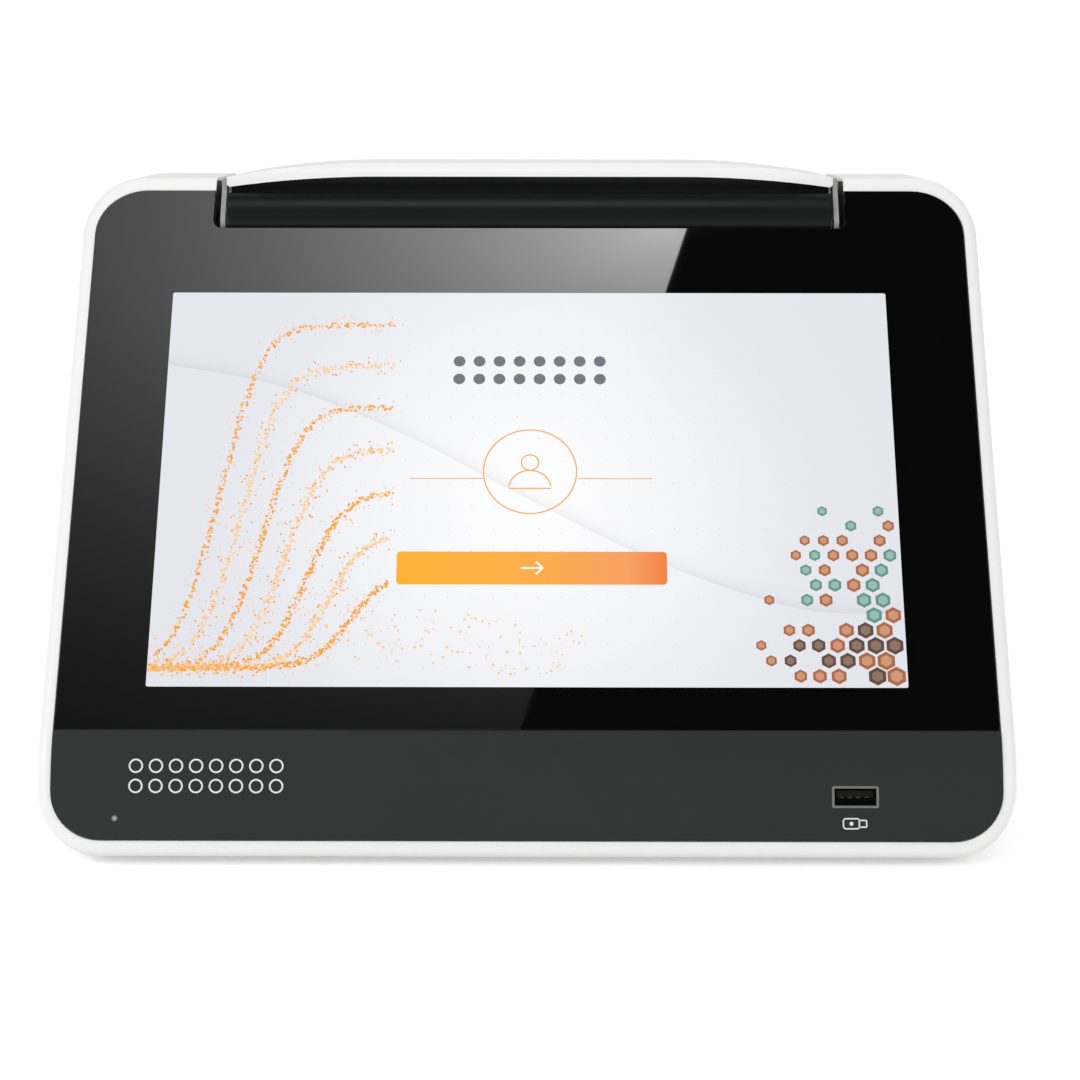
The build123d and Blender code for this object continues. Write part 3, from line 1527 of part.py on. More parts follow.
def lid_side(inset, depth):
    """Side outline of the lid, moved inwards by an inset, its lip by its own depth."""
    front = ((lid_front_y + inset, 0), 90)
    glass = (along(glass_high, glass_slope - 90, inset), glass_slope)
    lip = (along(glass_high, lip_angle - 90, depth), lip_angle)
    crown_point = (
        ridge[0] + slope_up[0] * (lid_crown - inset),
        ridge[1] + slope_up[1] * (lid_crown - inset),
    )
    crown = (crown_point, -top_slope)
    reach = crown_radius - barrel_radius
    axis_depth = (
        (crown_point[0] - hinge_axis[0]) * slope_up[0]
        + (crown_point[1] - hinge_axis[1]) * slope_up[1]
        + inset
    )
    down = crown_radius - axis_depth
    forward = (reach**2 - down**2) ** 0.5
    centre = (
        hinge_axis[0] - slope_back[0] * forward - slope_up[0] * down,
        hinge_axis[1] - slope_back[1] * forward - slope_up[1] * down,
    )
    radius = crown_radius - inset
    start = (centre[0] + slope_up[0] * radius, centre[1] + slope_up[1] * radius)
    end_angle = degrees(atan2(hinge_axis[1] - centre[1], hinge_axis[0] - centre[0]))
    middle_angle = (90 - top_slope + end_angle) / 2
    end = along(centre, end_angle, radius)
    lip_top = crossing(lip, crown)
    bend = max(lip_radius - inset, 1.5)
    setback = bend * tan(radians((lip_angle + top_slope) / 2))
    bend_in = along(lip_top, lip_angle, -setback)
    bend_out = (lip_top[0] + slope_back[0] * setback, lip_top[1] + slope_back[1] * setback)
    bend_centre = along(bend_in, lip_angle - 90, bend)
    bend_middle = along(bend_centre, (lip_angle + 90 + 90 - top_slope) / 2, bend)
    low_front = crossing(front, glass)
    lip_low = crossing(glass, lip)
    with BuildPart() as block:
        with BuildSketch(Plane.YZ):
            with BuildLine():
                Polyline(end, hinge_axis, (hinge_axis[0] - barrel_radius, lid_bottom_z))
                Polyline(
                    (hinge_axis[0] - barrel_radius, lid_bottom_z),
                    (lid_front_y + inset, lid_bottom_z),
                    low_front,
                    lip_low,
                    bend_in,
                )
                ThreePointArc(bend_in, bend_middle, bend_out)
                Line(bend_out, start)
                ThreePointArc(start, along(centre, middle_angle, radius), end)
            make_face()
        extrude(amount=lid_half + 5, both=True)
    return block.part


lid_outer_arch = arch_block(0, lid_crown, 0)
lid_inner_arch = arch_block(lid_wall, lid_crown - lid_wall, -lid_wall)
lid_mouth_arch = arch_block(lid_wall, lip_low_rise, -lip_low_drop)
lid_outer_side = lid_side(0, 0)
lid_inner_side = lid_side(lid_wall, lip_depth)

insert_radius = 5.0
insert_length = 22.0
hinge_pin_length = 24.0
barrel_plane = Plane.YZ.offset(-lid_half)
boss_radius = 3.2
liner_low_z = 155.0
lid_liner_thickness = 1.6
liner_high_z = liner_low_z + lid_liner_thickness
liner_screw_planes = [
    Plane(origin=(x, y, liner_low_z), x_dir=(1, 0, 0), z_dir=(0, 0, -1))
    for x in (-80.0, 80.0)
    for y in (61.0, 86.0)
]
hot_frame_z = 163.0
hot_frame_planes = [
    Plane(origin=(x, y, hot_frame_z), x_dir=(1, 0, 0), z_dir=(0, 0, -1))
    for x in (-58.0, 58.0)
    for y in (block_y - 8, block_y + 8)
]

with BuildPart() as lid_cavity:
    add(lid_inner_side)
    add(lid_inner_arch, mode=Mode.INTERSECT)
    add(
        slab(
            (-lid_half + lid_wall, lid_front_y + lid_wall, lid_bottom_z - 2),
            (lid_half - lid_wall, hinge_axis[0] - barrel_radius + 0.5, lid_bottom_z + 5),
        )
    )

with BuildPart() as lid_mouth:
    add(slab((-lid_half + lid_wall, 20.0, lid_bottom_z - 2), (lid_half - lid_wall, 50.0, 190.0)))
    add(lid_mouth_arch, mode=Mode.INTERSECT)

with BuildPart() as lid_posts:
    for plane in liner_screw_planes:
        with BuildSketch(plane.offset(-lid_liner_thickness)) as post:
            Circle(boss_radius)
        extrude(post.sketch, amount=-30)
    for plane in hot_frame_planes:
        with BuildSketch(plane.offset(-1.5)) as post:
            Circle(boss_radius)
        extrude(post.sketch, amount=-30)
    add(lid_outer_arch, mode=Mode.INTERSECT)
    add(lid_outer_side, mode=Mode.INTERSECT)

with BuildPart() as lid_shell:
    add(lid_outer_side)
    add(lid_outer_arch, mode=Mode.INTERSECT)
    add(lid_cavity.part, mode=Mode.SUBTRACT)
    add(lid_mouth.part, mode=Mode.SUBTRACT)
    with BuildSketch(barrel_plane):
        with Locations(hinge_axis):
            Circle(barrel_radius)
    extrude(amount=2 * lid_half)
    add(lid_posts.part)
    with BuildSketch(barrel_plane):
        with Locations(hinge_axis):
            Circle(insert_radius)
    extrude(amount=2 * lid_half, mode=Mode.SUBTRACT)
    drill(liner_screw_planes, 1.25, 0, 7.5)
    drill(hot_frame_planes, 1.25, 0, 5.0)
lid_shell.part.label = "lid_shell"
export_step(lid_shell.part, "parts/lid_shell.step")

# Grip: a convex roll under the lip, with a finger groove behind it
grip_gap = 0.1
grip_wall = 2.0
roll_bulge = 2.2
roll_top_z = along(glass_high, glass_slope, -1.8)[1] + 0.5
roll_top_y = along(glass_high, glass_slope, -1.8)[0]
roll_low = (lid_front_y + grip_gap, notch_floor[1] - 0.2)
roll_high = (roll_top_y, roll_top_z)
roll_middle = along(
    ((roll_low[0] + roll_high[0]) / 2, (roll_low[1] + roll_high[1]) / 2), glass_slope + 90, roll_bulge
)
groove_floor_z = roll_top_z - 2.6
groove_back_y = glass_high[0] + 6.5
with BuildPart() as grip_room:
    add(lid_inner_arch)
    add(lid_inner_side, mode=Mode.INTERSECT)
    add(slab((-lid_half + lid_wall, 20.0, lid_bottom_z - 1), (lid_half - lid_wall, 60.0, roll_top_z)))
    add(
        slab(
            (-lid_half + lid_wall + grip_gap, 20.0, lid_bottom_z + 1.0),
            (lid_half - lid_wall - grip_gap, 60.0, 190.0),
        ),
        mode=Mode.INTERSECT,
    )

with BuildPart() as lid_grip:
    with BuildSketch(Plane.YZ):
        with BuildLine():
            Line((lid_front_y + grip_gap, lid_bottom_z), roll_low)
            ThreePointArc(roll_low, roll_middle, roll_high)
            Bezier(
                roll_high,
                (roll_high[0] + 3.0, roll_high[1] + 0.3),
                (roll_high[0] + 3.0, groove_floor_z + 0.2),
                (roll_high[0] + 6.0, groove_floor_z),
            )
            Bezier(
                (roll_high[0] + 6.0, groove_floor_z),
                (groove_back_y - 0.5, groove_floor_z),
                (groove_back_y, groove_floor_z + 1.5),
                (groove_back_y, groove_floor_z + 4.0),
            )
            Polyline(
                (groove_back_y, groove_floor_z + 4.0),
                (groove_back_y, 185.0),
                (groove_back_y + grip_wall, 185.0),
                (groove_back_y + grip_wall, liner_high_z + 0.2),
                (groove_back_y - 1.0, liner_high_z + 0.2),
                (groove_back_y - 1.0, groove_floor_z - grip_wall),
                (roll_high[0] + 5.0, groove_floor_z - grip_wall),
                (roll_high[0] + 0.5, roll_high[1] - grip_wall - 1.2),
                (roll_low[0] + grip_wall, roll_low[1] - 0.2),
                (roll_low[0] + grip_wall, lid_bottom_z),
                (lid_front_y + grip_gap, lid_bottom_z),
            )
        make_face()
    extrude(amount=lid_half, both=True)
    add(grip_room.part, mode=Mode.INTERSECT)
lid_grip.part.label = "lid_grip"
export_step(lid_grip.part, "parts/lid_grip.step")

# Liner under the lid, with the magnets of the catch
magnet_radius = 4.0
magnet_height = 3.0
magnet_rise = 0.7  # above the deck
hot_plate_half = 46.0
hot_plate_depth = 28.0
liner_gap = 1.5
liner_front_y = lid_front_y + grip_gap + grip_wall + 0.2
liner_rear_y = deck_rear_y - 1.5
with BuildPart() as lid_liner:
    with BuildSketch(Plane.XY.offset(liner_low_z)):
        with Locations((0, (liner_front_y + liner_rear_y) / 2)):
            Rectangle(2 * (lid_half - lid_wall - 0.2), liner_rear_y - liner_front_y)
        with Locations((0, block_y)):
            RectangleRounded(
                2 * (hot_plate_half + liner_gap),
                hot_plate_depth + 2 * liner_gap,
                4.0,
                mode=Mode.SUBTRACT,
            )
    extrude(amount=lid_liner_thickness)
    posts(keeper_planes, magnet_radius + 1.2, liner_low_z + 1 - deck_z, -magnet_rise)
    drill(keeper_planes, magnet_radius, magnet_rise + magnet_height, 1 - magnet_rise)
    drill(liner_screw_planes, 1.5, 1, 5)
lid_liner.part.label = "lid_liner"
export_step(lid_liner.part, "parts/lid_liner.step")

with BuildPart() as lid_magnets:
    posts(keeper_planes, magnet_radius, magnet_rise + magnet_height, -magnet_rise)
lid_magnets.part.label = "lid_magnets"
export_step(lid_magnets.part, "parts/lid_magnets.step")

# Heated plate that the lid presses onto the sample tubes, on sprung shoulder screws
hot_plate_low_z = 154.5
hot_plate_thickness = 4.0
hot_frame_thickness = 1.5
hot_frame_half = 66.0
hot_pin_x = 36.0
hot_pin_y = 9.5
hot_pin_radius = 1.4
hot_head_radius = 2.4
hot_head_height = 1.0
hot_head_recess = 1.6
hot_seat_gap = 0.1
hot_spring_outer = 2.6
hot_spring_inner = 1.8
hot_spring_gap = 0.05
heater_thickness = 0.5
hot_plate_top_z = hot_plate_low_z + hot_plate_thickness
hot_seat_z = hot_plate_low_z + hot_head_recess
hot_pin_planes = [
    Plane(origin=(x, block_y + y, hot_seat_z))
    for x in (-hot_pin_x, hot_pin_x)
    for y in (-hot_pin_y, hot_pin_y)
]
with BuildPart() as hot_lid_frame:
    with BuildSketch(Plane.XY.offset(hot_frame_z)):
        with Locations((0, block_y)):
            RectangleRounded(2 * hot_frame_half, hot_plate_depth, 4.0)
            with GridLocations(40, 1, 2, 1):
                RectangleRounded(28, 16, 3.0, mode=Mode.SUBTRACT)
    extrude(amount=hot_frame_thickness)
    drill(hot_pin_planes, hot_pin_radius, 20, 0)
    drill(hot_frame_planes, 1.5, 1, 3)
hot_lid_frame.part.label = "hot_lid_frame"
export_step(hot_lid_frame.part, "parts/hot_lid_frame.step")

with BuildPart() as hot_lid_pins:
    posts(hot_pin_planes, hot_head_radius, -hot_seat_gap, hot_seat_gap + hot_head_height)
    posts(hot_pin_planes, hot_pin_radius, hot_frame_z + hot_frame_thickness - hot_seat_z, 0.5)
    drill(hot_pin_planes, 0.9, -hot_seat_gap - 0.5, 3)
hot_lid_pins.part.label = "hot_lid_pins"
export_step(hot_lid_pins.part, "parts/hot_lid_pins.step")

with BuildPart(Plane.XY.offset(hot_plate_low_z)) as hot_lid_plate:
    with Locations((0, block_y, 0)):
        Box(
            2 * hot_plate_half,
            hot_plate_depth,
            hot_plate_thickness,
            align=(Align.CENTER, Align.CENTER, Align.MIN),
        )
    fillet(hot_lid_plate.edges().filter_by(Axis.Z), radius=3.0)
    chamfer(hot_lid_plate.faces().sort_by(Axis.Z)[0].edges(), length=0.5)
    drill(hot_pin_planes, hot_pin_radius + pin_fit, 6, 3)
    drill(hot_pin_planes, hot_head_radius + 0.4, 0, 3)
hot_lid_plate.part.label = "hot_lid_plate"
export_step(hot_lid_plate.part, "parts/hot_lid_plate.step")

with BuildPart() as hot_lid_heater:
    with BuildSketch(Plane.XY.offset(hot_plate_top_z)):
        with Locations((0, block_y)):
            RectangleRounded(2 * hot_plate_half - 6, hot_plate_depth - 4, 3.0)
    extrude(amount=heater_thickness)
    drill(hot_pin_planes, hot_spring_outer + 0.4, 10, 0)
hot_lid_heater.part.label = "hot_lid_heater"
export_step(hot_lid_heater.part, "parts/hot_lid_heater.step")

with BuildPart() as hot_lid_springs:
    for plane in hot_pin_planes:
        with BuildSketch(plane.offset(hot_plate_top_z - hot_seat_z + hot_spring_gap)):
            Circle(hot_spring_outer)
            Circle(hot_spring_inner, mode=Mode.SUBTRACT)
        extrude(amount=hot_frame_z - hot_plate_top_z - 2 * hot_spring_gap)
hot_lid_springs.part.label = "hot_lid_springs"
export_step(hot_lid_springs.part, "parts/hot_lid_springs.step")

# Hinge: fixed pins in brackets on the case, friction inserts in the lid's barrel
insert_gap = 0.5
pin_end_x = notch_half + liner_thickness + bracket_plate + 1.0
with BuildPart() as hinge_inserts:
    for side in (-1, 1):
        with BuildSketch(Plane.YZ.offset(side * (lid_half - insert_gap))):
            with Locations(hinge_axis):
                Circle(insert_radius)
                Circle(hinge_pin_radius + pin_fit, mode=Mode.SUBTRACT)
        extrude(amount=-side * insert_length)
hinge_inserts.part.label = "hinge_inserts"
export_step(hinge_inserts.part, "parts/hinge_inserts.step")

with BuildPart() as hinge_pins:
    for side in (-1, 1):
        with BuildSketch(Plane.YZ.offset(side * pin_end_x)):
            with Locations(hinge_axis):
                Circle(hinge_pin_radius)
        extrude(amount=-side * hinge_pin_length)
hinge_pins.part.label = "hinge_pins"
export_step(hinge_pins.part, "parts/hinge_pins.step")

with BuildPart() as hinge_brackets:
    for side in (-1, 1):
        with BuildSketch(Plane.YZ.offset(side * (notch_half + liner_thickness))):
            with Locations((hinge_axis[0], hinge_axis[1] - 5.0)):
                RectangleRounded(15.0, 18.0, 3.0)
            with Locations(hinge_axis):
                Circle(hinge_pin_radius, mode=Mode.SUBTRACT)
        extrude(amount=side * bracket_plate)
    add(inner_case, mode=Mode.INTERSECT)
    drill(hinge_screw_planes, 1.25, 1, 6)
hinge_brackets.part.label = "hinge_brackets"
export_step(hinge_brackets.part, "parts/hinge_brackets.step")

# Screws of like use share a node
with BuildPart() as inner_screws:
    add(screw_group(bracket_planes_out, 1.2, display_screw_length, 1.4))
    add(screw_group(chassis_planes, 1.5, 8.0, 1.7))
    add(screw_group(board_planes, 1.25, 7.0, 1.5))
    add(screw_group(hinge_screw_planes, 1.25, bracket_plate + liner_thickness - 0.2, 1.2))
    add(screw_group(rear_screw_planes, 1.2, 3.2, 1.4))
inner_screws.part.label = "inner_screws"
export_step(inner_screws.part, "parts/inner_screws.step")

with BuildPart() as deck_screws:
    add(screw_group(deck_screw_planes, 1.2, 3.8, 1.3))
    add(screw_group(block_screw_planes, 1.4, 27.0, 1.6))
deck_screws.part.label = "deck_screws"
export_step(deck_screws.part, "parts/deck_screws.step")

with BuildPart() as housing_screws:
    add(screw_group(base_planes, 1.5, 8.0, 1.7))
    add(screw_group(fan_planes, 1.6, 8.0, 1.5))
housing_screws.part.label = "housing_screws"
export_step(housing_screws.part, "parts/housing_screws.step")

with BuildPart() as lid_screws:
    add(screw_group(liner_screw_planes, 1.25, 7.0, 1.3))
    add(screw_group(hot_frame_planes, 1.25, 5.0, 1.3))
lid_screws.part.label = "lid_screws"
export_step(lid_screws.part, "parts/lid_screws.step")
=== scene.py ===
import json
import math
import random

import bmesh
import bpy
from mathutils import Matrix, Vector


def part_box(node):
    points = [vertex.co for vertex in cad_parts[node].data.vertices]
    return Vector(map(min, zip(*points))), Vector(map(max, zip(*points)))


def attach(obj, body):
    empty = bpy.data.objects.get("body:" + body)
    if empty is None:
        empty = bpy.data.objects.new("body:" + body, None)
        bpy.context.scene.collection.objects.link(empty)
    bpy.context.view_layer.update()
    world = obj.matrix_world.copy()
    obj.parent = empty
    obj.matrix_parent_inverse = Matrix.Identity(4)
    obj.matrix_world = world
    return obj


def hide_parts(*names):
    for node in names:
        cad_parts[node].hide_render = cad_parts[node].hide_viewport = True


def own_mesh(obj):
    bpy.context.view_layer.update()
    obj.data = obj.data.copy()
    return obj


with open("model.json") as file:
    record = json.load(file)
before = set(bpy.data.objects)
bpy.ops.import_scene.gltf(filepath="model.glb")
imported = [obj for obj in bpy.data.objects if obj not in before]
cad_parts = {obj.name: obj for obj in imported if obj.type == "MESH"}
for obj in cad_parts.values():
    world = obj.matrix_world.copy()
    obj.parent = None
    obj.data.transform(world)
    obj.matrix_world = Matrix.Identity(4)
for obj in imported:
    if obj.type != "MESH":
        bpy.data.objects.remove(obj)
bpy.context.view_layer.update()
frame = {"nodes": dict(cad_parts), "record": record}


def linkedObject(name, data):
    thing = bpy.data.objects.new(name, data)
    bpy.context.scene.collection.objects.link(thing)
    return thing


def newMesh(name, vertices, faces):
    mesh = bpy.data.meshes.new(name)
    mesh.from_pydata(vertices, [], faces)
    return mesh


def grey(level):
    return (level, level, level, 1.0)


def screenColor(*levels):
    # 0 to 255 as shown on a display, to the linear values that shaders take
    shares = [level / 255 for level in levels]
    return (*(s / 12.92 if s <= 0.04045 else ((s + 0.055) / 1.055) ** 2.4 for s in shares), 1.0)


# Camera, at the photograph's viewing angle
cameraView = {
    "place": (0.0071, -0.8091, 0.3905),
    "elevation": -22.21,  # degrees from the horizon
    "turn": 0.248,  # degrees about the vertical
    "lens": 88.4,
    "sensor": 36.0,
    "nearest": 0.01,
}


def makeCamera(view):
    data = bpy.data.cameras.new("productCamera")
    data.lens = view["lens"]
    data.sensor_width = view["sensor"]
    data.clip_start = view["nearest"]
    camera = linkedObject("productCamera", data)
    camera.location = view["place"]
    camera.rotation_euler = (math.radians(90 + view["elevation"]), 0, math.radians(view["turn"]))
    bpy.context.scene.camera = camera


makeCamera(cameraView)
bpy.context.scene.view_settings.view_transform = "Standard"
print("camera set")


# Node helpers shared by the stage, the materials and the Geometry Nodes
def feed(tree, sockets, values):
    # A value is a constant for its socket, or the output that drives it
    for name, value in values.items():
        if isinstance(value, bpy.types.NodeSocket):
            tree.links.new(value, sockets[name])
        else:
            sockets[name].default_value = value


def addNode(tree, kind, values=None, **settings):
    node = tree.nodes.new(kind)
    for name, value in settings.items():
        setattr(node, name, value)
    feed(tree, node.inputs, values or {})
    return node


def mathNode(tree, operation, *values):
    return addNode(tree, "ShaderNodeMath", dict(enumerate(values)), operation=operation).outputs[0]


def vectorNode(tree, operation, *values, result="Vector"):
    node = addNode(tree, "ShaderNodeVectorMath", dict(enumerate(values)), operation=operation)
    return node.outputs[result]


def scaledColor(tree, color, factor):
    node = addNode(tree, "ShaderNodeVectorMath", {0: color, "Scale": factor}, operation="SCALE")
    return node.outputs["Vector"]


def mixColors(tree, share, first, second):
    return addNode(tree, "ShaderNodeMix", {0: share, 6: first, 7: second}, data_type="RGBA").outputs[2]


def rangeNode(tree, value, source=(0.0, 1.0), target=(0.0, 1.0), **settings):
    limits = {"From Min": source[0], "From Max": source[1], "To Min": target[0], "To Max": target[1]}
    return addNode(tree, "ShaderNodeMapRange", {"Value": value, **limits}, **settings).outputs["Result"]


def noiseNode(tree, place, scale, detail, distortion=0.0):
    values = {"Vector": place, "Scale": scale, "Detail": detail, "Distortion": distortion}
    return addNode(tree, "ShaderNodeTexNoise", values).outputs["Fac"]


def rampNode(tree, factor, stops):
    node = addNode(tree, "ShaderNodeValToRGB", {"Fac": factor})
    elements = node.color_ramp.elements
    while len(elements) < len(stops):
        elements.new(0.5)
    for element, (position, color) in zip(elements, stops):
        element.position = position
        element.color = color
    return node.outputs["Color"]


def mapped(tree, place, location, scale):
    values = {"Vector": place, "Location": location, "Scale": scale}
    return addNode(tree, "ShaderNodeMapping", values).outputs["Vector"]


def newMaterial(name):
    material = bpy.data.materials.new(name)
    material.use_nodes = True
    return material, material.node_tree


# Studio: a white surround for the eye, a darker ceiling in reflections
studio = {
    "ambient": 0.66,
    "mirrorStops": [  # from the floor to the ceiling
        (0.0, 0.62), (0.5, 0.62), (0.66, 0.4), (0.82, 0.2), (0.92, 0.04), (1.0, 0.03),
    ],
    "floorSize": 7.0,
    "floorTone": 0.9,
    "floorRoughness": 0.9,
    "floorShine": 0.1,
    "floorLift": 0.3,  # light added to the floor for the eye alone
}


def shownDirectly(tree):
    # 1 for the eye and through clear things, 0 for light that falls on the object
    path = addNode(tree, "ShaderNodeLightPath").outputs
    seen = mathNode(tree, "MAXIMUM", path["Is Camera Ray"], path["Is Transmission Ray"])
    return seen, path["Is Glossy Ray"]


def makeWorld(look):
    world = bpy.data.worlds.new("studio")
    world.use_nodes = True
    bpy.context.scene.world = world
    tree = world.node_tree
    place = addNode(tree, "ShaderNodeTexCoord").outputs["Generated"]
    split = addNode(tree, "ShaderNodeSeparateXYZ", {0: place})
    height = mathNode(tree, "MULTIPLY_ADD", split.outputs["Z"], 0.5, 0.5)  # -1 to 1 becomes 0 to 1
    stops = [(position, grey(level)) for position, level in look["mirrorStops"]]
    seen, glossy = shownDirectly(tree)
    lit = mixColors(tree, glossy, grey(look["ambient"]), rampNode(tree, height, stops))
    shown = mixColors(tree, seen, lit, grey(1.0))
    feed(tree, tree.nodes["Background"].inputs, {"Color": shown})


def flatCard(name, corners, material):
    mesh = newMesh(name, corners, [tuple(range(len(corners)))])
    mesh.materials.append(material)
    return linkedObject(name, mesh)


def makeFloor(look):
    material, tree = newMaterial("paleFloor")
    seen, glossy = shownDirectly(tree)
    lift = mathNode(tree, "MULTIPLY", mathNode(tree, "MAXIMUM", seen, glossy), look["floorLift"])
    surface = {
        "Base Color": grey(look["floorTone"]), "Roughness": look["floorRoughness"],
        "Specular IOR Level": look["floorShine"], "Emission Color": grey(1.0), "Emission Strength": lift,
    }
    feed(tree, tree.nodes["Principled BSDF"].inputs, surface)
    half = look["floorSize"] / 2
    corners = [(half * x, half * y, 0) for x, y in ((-1, -1), (1, -1), (1, 1), (-1, 1))]
    flatCard("floor", corners, material)


# Lamps: place, aim, size across and up, watts
lamps = {
    "keyLamp": ((-1.35, -1.05, 1.25), (0, 0, 0.08), (0.9, 0.9), 14.0),
    "fillLamp": ((1.5, -0.9, 0.95), (0, 0, 0.08), (1.0, 1.0), 6.0),
    "rearLamp": ((0.2, 1.5, 1.5), (0, 0, 0.1), (1.2, 0.8), 6.0),
}


def makeLamp(name, place, aim, size, watts):
    data = bpy.data.lights.new(name, "AREA")
    data.shape = "RECTANGLE"
    data.size, data.size_y = size
    data.energy = watts
    lamp = linkedObject(name, data)
    lamp.location = place
    lamp.rotation_euler = (Vector(aim) - Vector(place)).to_track_quat("-Z", "Y").to_euler()


# Softbox over the screen: only mirrors see it, and its edge is the slanted line on the glass
softbox = {
    "height": 1.5,
    "edgeHigh": (0.0516, 0.2089),  # where its edge shows on the front, across and up from the chin
    "edgeLow": (-0.0020, 0.0330),
    "reach": 1.0,  # how far the box goes on past both ends and to the left
    "hotSpot": (0.0450, 0.2100),
    "strength": 11.2,
    "falloff": (0.245, 0.125),  # metres across and along
}

# Front of the case as its side section: a straight chin, a bend and the slope of the glass
front = {
    "chinLow": (-0.11227, 0.00933),  # y and z
    "chinSlope": 61.0,
    "chinStraight": 0.0204,
    "bendRadius": 0.040,
    "glassLow": (-0.09468, 0.03703),
    "glassSlope": 43.0,
}
front["glassStart"] = front["chinStraight"] + front["bendRadius"] * math.radians(
    front["chinSlope"] - front["glassSlope"]
)


def frontPoint(across, up, lift=0.0):
    # A point on the front, that far up its surface from the chin's low edge
    steep, gentle = math.radians(front["chinSlope"]), math.radians(front["glassSlope"])
    angle, run = gentle, up - front["glassStart"]
    y, z = front["glassLow"]
    if up <= front["chinStraight"]:
        angle, run = steep, up
        y, z = front["chinLow"]
    elif run < 0:
        angle, run = steep - (up - front["chinStraight"]) / front["bendRadius"], 0.0
        y += front["bendRadius"] * (math.sin(gentle) - math.sin(angle))
        z -= front["bendRadius"] * (math.cos(gentle) - math.cos(angle))
    sine, cosine = math.sin(angle), math.cos(angle)
    return Vector((across, y + run * cosine - lift * sine, z + run * sine + lift * cosine))


def mirroredAt(across, up, height):
    # Where the eye looks, by way of the glass, on a level plane overhead
    angle = math.radians(front["glassSlope"])
    normal = Vector((0, -math.sin(angle), math.cos(angle)))
    point = frontPoint(across, up)
    look = (point - Vector(cameraView["place"])).normalized()
    back = look - 2 * look.dot(normal) * normal
    return point + back * ((height - point.z) / back.z)


def makeSoftbox(box):
    material, tree = newMaterial("softboxLight")
    tree.nodes.remove(tree.nodes["Principled BSDF"])
    wide, deep = box["falloff"]
    high, low, middle = (mirroredAt(*box[end], box["height"]) for end in ("edgeHigh", "edgeLow", "hotSpot"))
    place = addNode(tree, "ShaderNodeTexCoord").outputs["Object"]
    around = mapped(tree, place, (-middle.x / wide, -middle.y / deep, 0), (1 / wide, 1 / deep, 0))
    distance = vectorNode(tree, "LENGTH", around, result="Value")
    fade = mathNode(tree, "EXPONENT", mathNode(tree, "MULTIPLY", distance, -1))
    strength = mathNode(tree, "MULTIPLY", fade, box["strength"])
    glow = addNode(tree, "ShaderNodeEmission", {"Strength": strength})
    feed(tree, tree.nodes["Material Output"].inputs, {"Surface": glow.outputs[0]})
    along = (high - low).normalized() * box["reach"]
    left = Vector((-box["reach"], 0, 0))
    corners = [low - along, high + along, high + along + left, low - along + left]
    card = flatCard("softbox", corners, material)
    card.visible_camera = card.visible_diffuse = False
    card.visible_shadow = card.visible_transmission = False


makeWorld(studio)
makeFloor(studio)
for lampName, lampFacts in lamps.items():
    makeLamp(lampName, *lampFacts)
makeSoftbox(softbox)
print("studio lit")


# Shader effects that several materials share
surfaceInputs = {"Vector": "Vector", "Color": "Color", "Smooth": "Float", "Rough": "Float"}
surfaceOutputs = {"Color": "Color", "Roughness": "Float", "Height": "Float"}
noiseRange = (0.3, 0.7)  # where nearly all of a noise's values lie
grainLook = {"fineDetail": 3.0, "broadScale": 22.0, "broadDetail": 4.0, "fineShare": 0.4}
linesLook = {"detail": 4.0, "shade": (0.97, 1.03)}
marksLook = {"stretch": (14.0, 46.0, 46.0), "detail": 5.0, "distortion": 0.6, "shown": (0.5, 0.75)}


def newGroup(name, inputs, outputs):
    # Sockets are given by name and kind
    kind = "GeometryNodeTree" if "Geometry" in outputs else "ShaderNodeTree"
    group = bpy.data.node_groups.new(name, kind)
    for side, sockets in (("INPUT", inputs), ("OUTPUT", outputs)):
        for label, value in sockets.items():
            group.interface.new_socket(name=label, in_out=side, socket_type="NodeSocket" + value)
    return group, addNode(group, "NodeGroupInput").outputs, addNode(group, "NodeGroupOutput").inputs


def makeGrain(look):
    # Fine spark-eroded texture of a mould, and the slight drift of tone in the plastic
    inputs = {**surfaceInputs, "Grain": "Float", "Drift": "Float"}
    group, given, result = newGroup("mouldedGrain", inputs, surfaceOutputs)
    fine = noiseNode(group, given["Vector"], given["Grain"], look["fineDetail"])
    broad = noiseNode(group, given["Vector"], look["broadScale"], look["broadDetail"])
    centred = mathNode(group, "SUBTRACT", broad, 0.5)
    shift = mathNode(group, "MULTIPLY_ADD", centred, given["Drift"], 1.0)
    coarse = mathNode(group, "MULTIPLY", broad, 1 - look["fineShare"])
    mixed = mathNode(group, "MULTIPLY_ADD", fine, look["fineShare"], coarse)
    roughness = rangeNode(group, mixed, noiseRange, (given["Smooth"], given["Rough"]))
    color = scaledColor(group, given["Color"], shift)
    feed(group, result, {"Color": color, "Roughness": roughness, "Height": fine})
    return group


def makeBrushed(look):
    # Fine lines left by rolling, milling or brushing, along one direction
    inputs = {**surfaceInputs, "Stretch": "Vector"}
    group, given, result = newGroup("brushedLines", inputs, surfaceOutputs)
    stretched = vectorNode(group, "MULTIPLY", given["Vector"], given["Stretch"])
    lines = noiseNode(group, stretched, 1.0, look["detail"])
    roughness = rangeNode(group, lines, noiseRange, (given["Smooth"], given["Rough"]))
    color = scaledColor(group, given["Color"], rangeNode(group, lines, target=look["shade"]))
    feed(group, result, {"Color": color, "Roughness": roughness, "Height": lines})
    return group


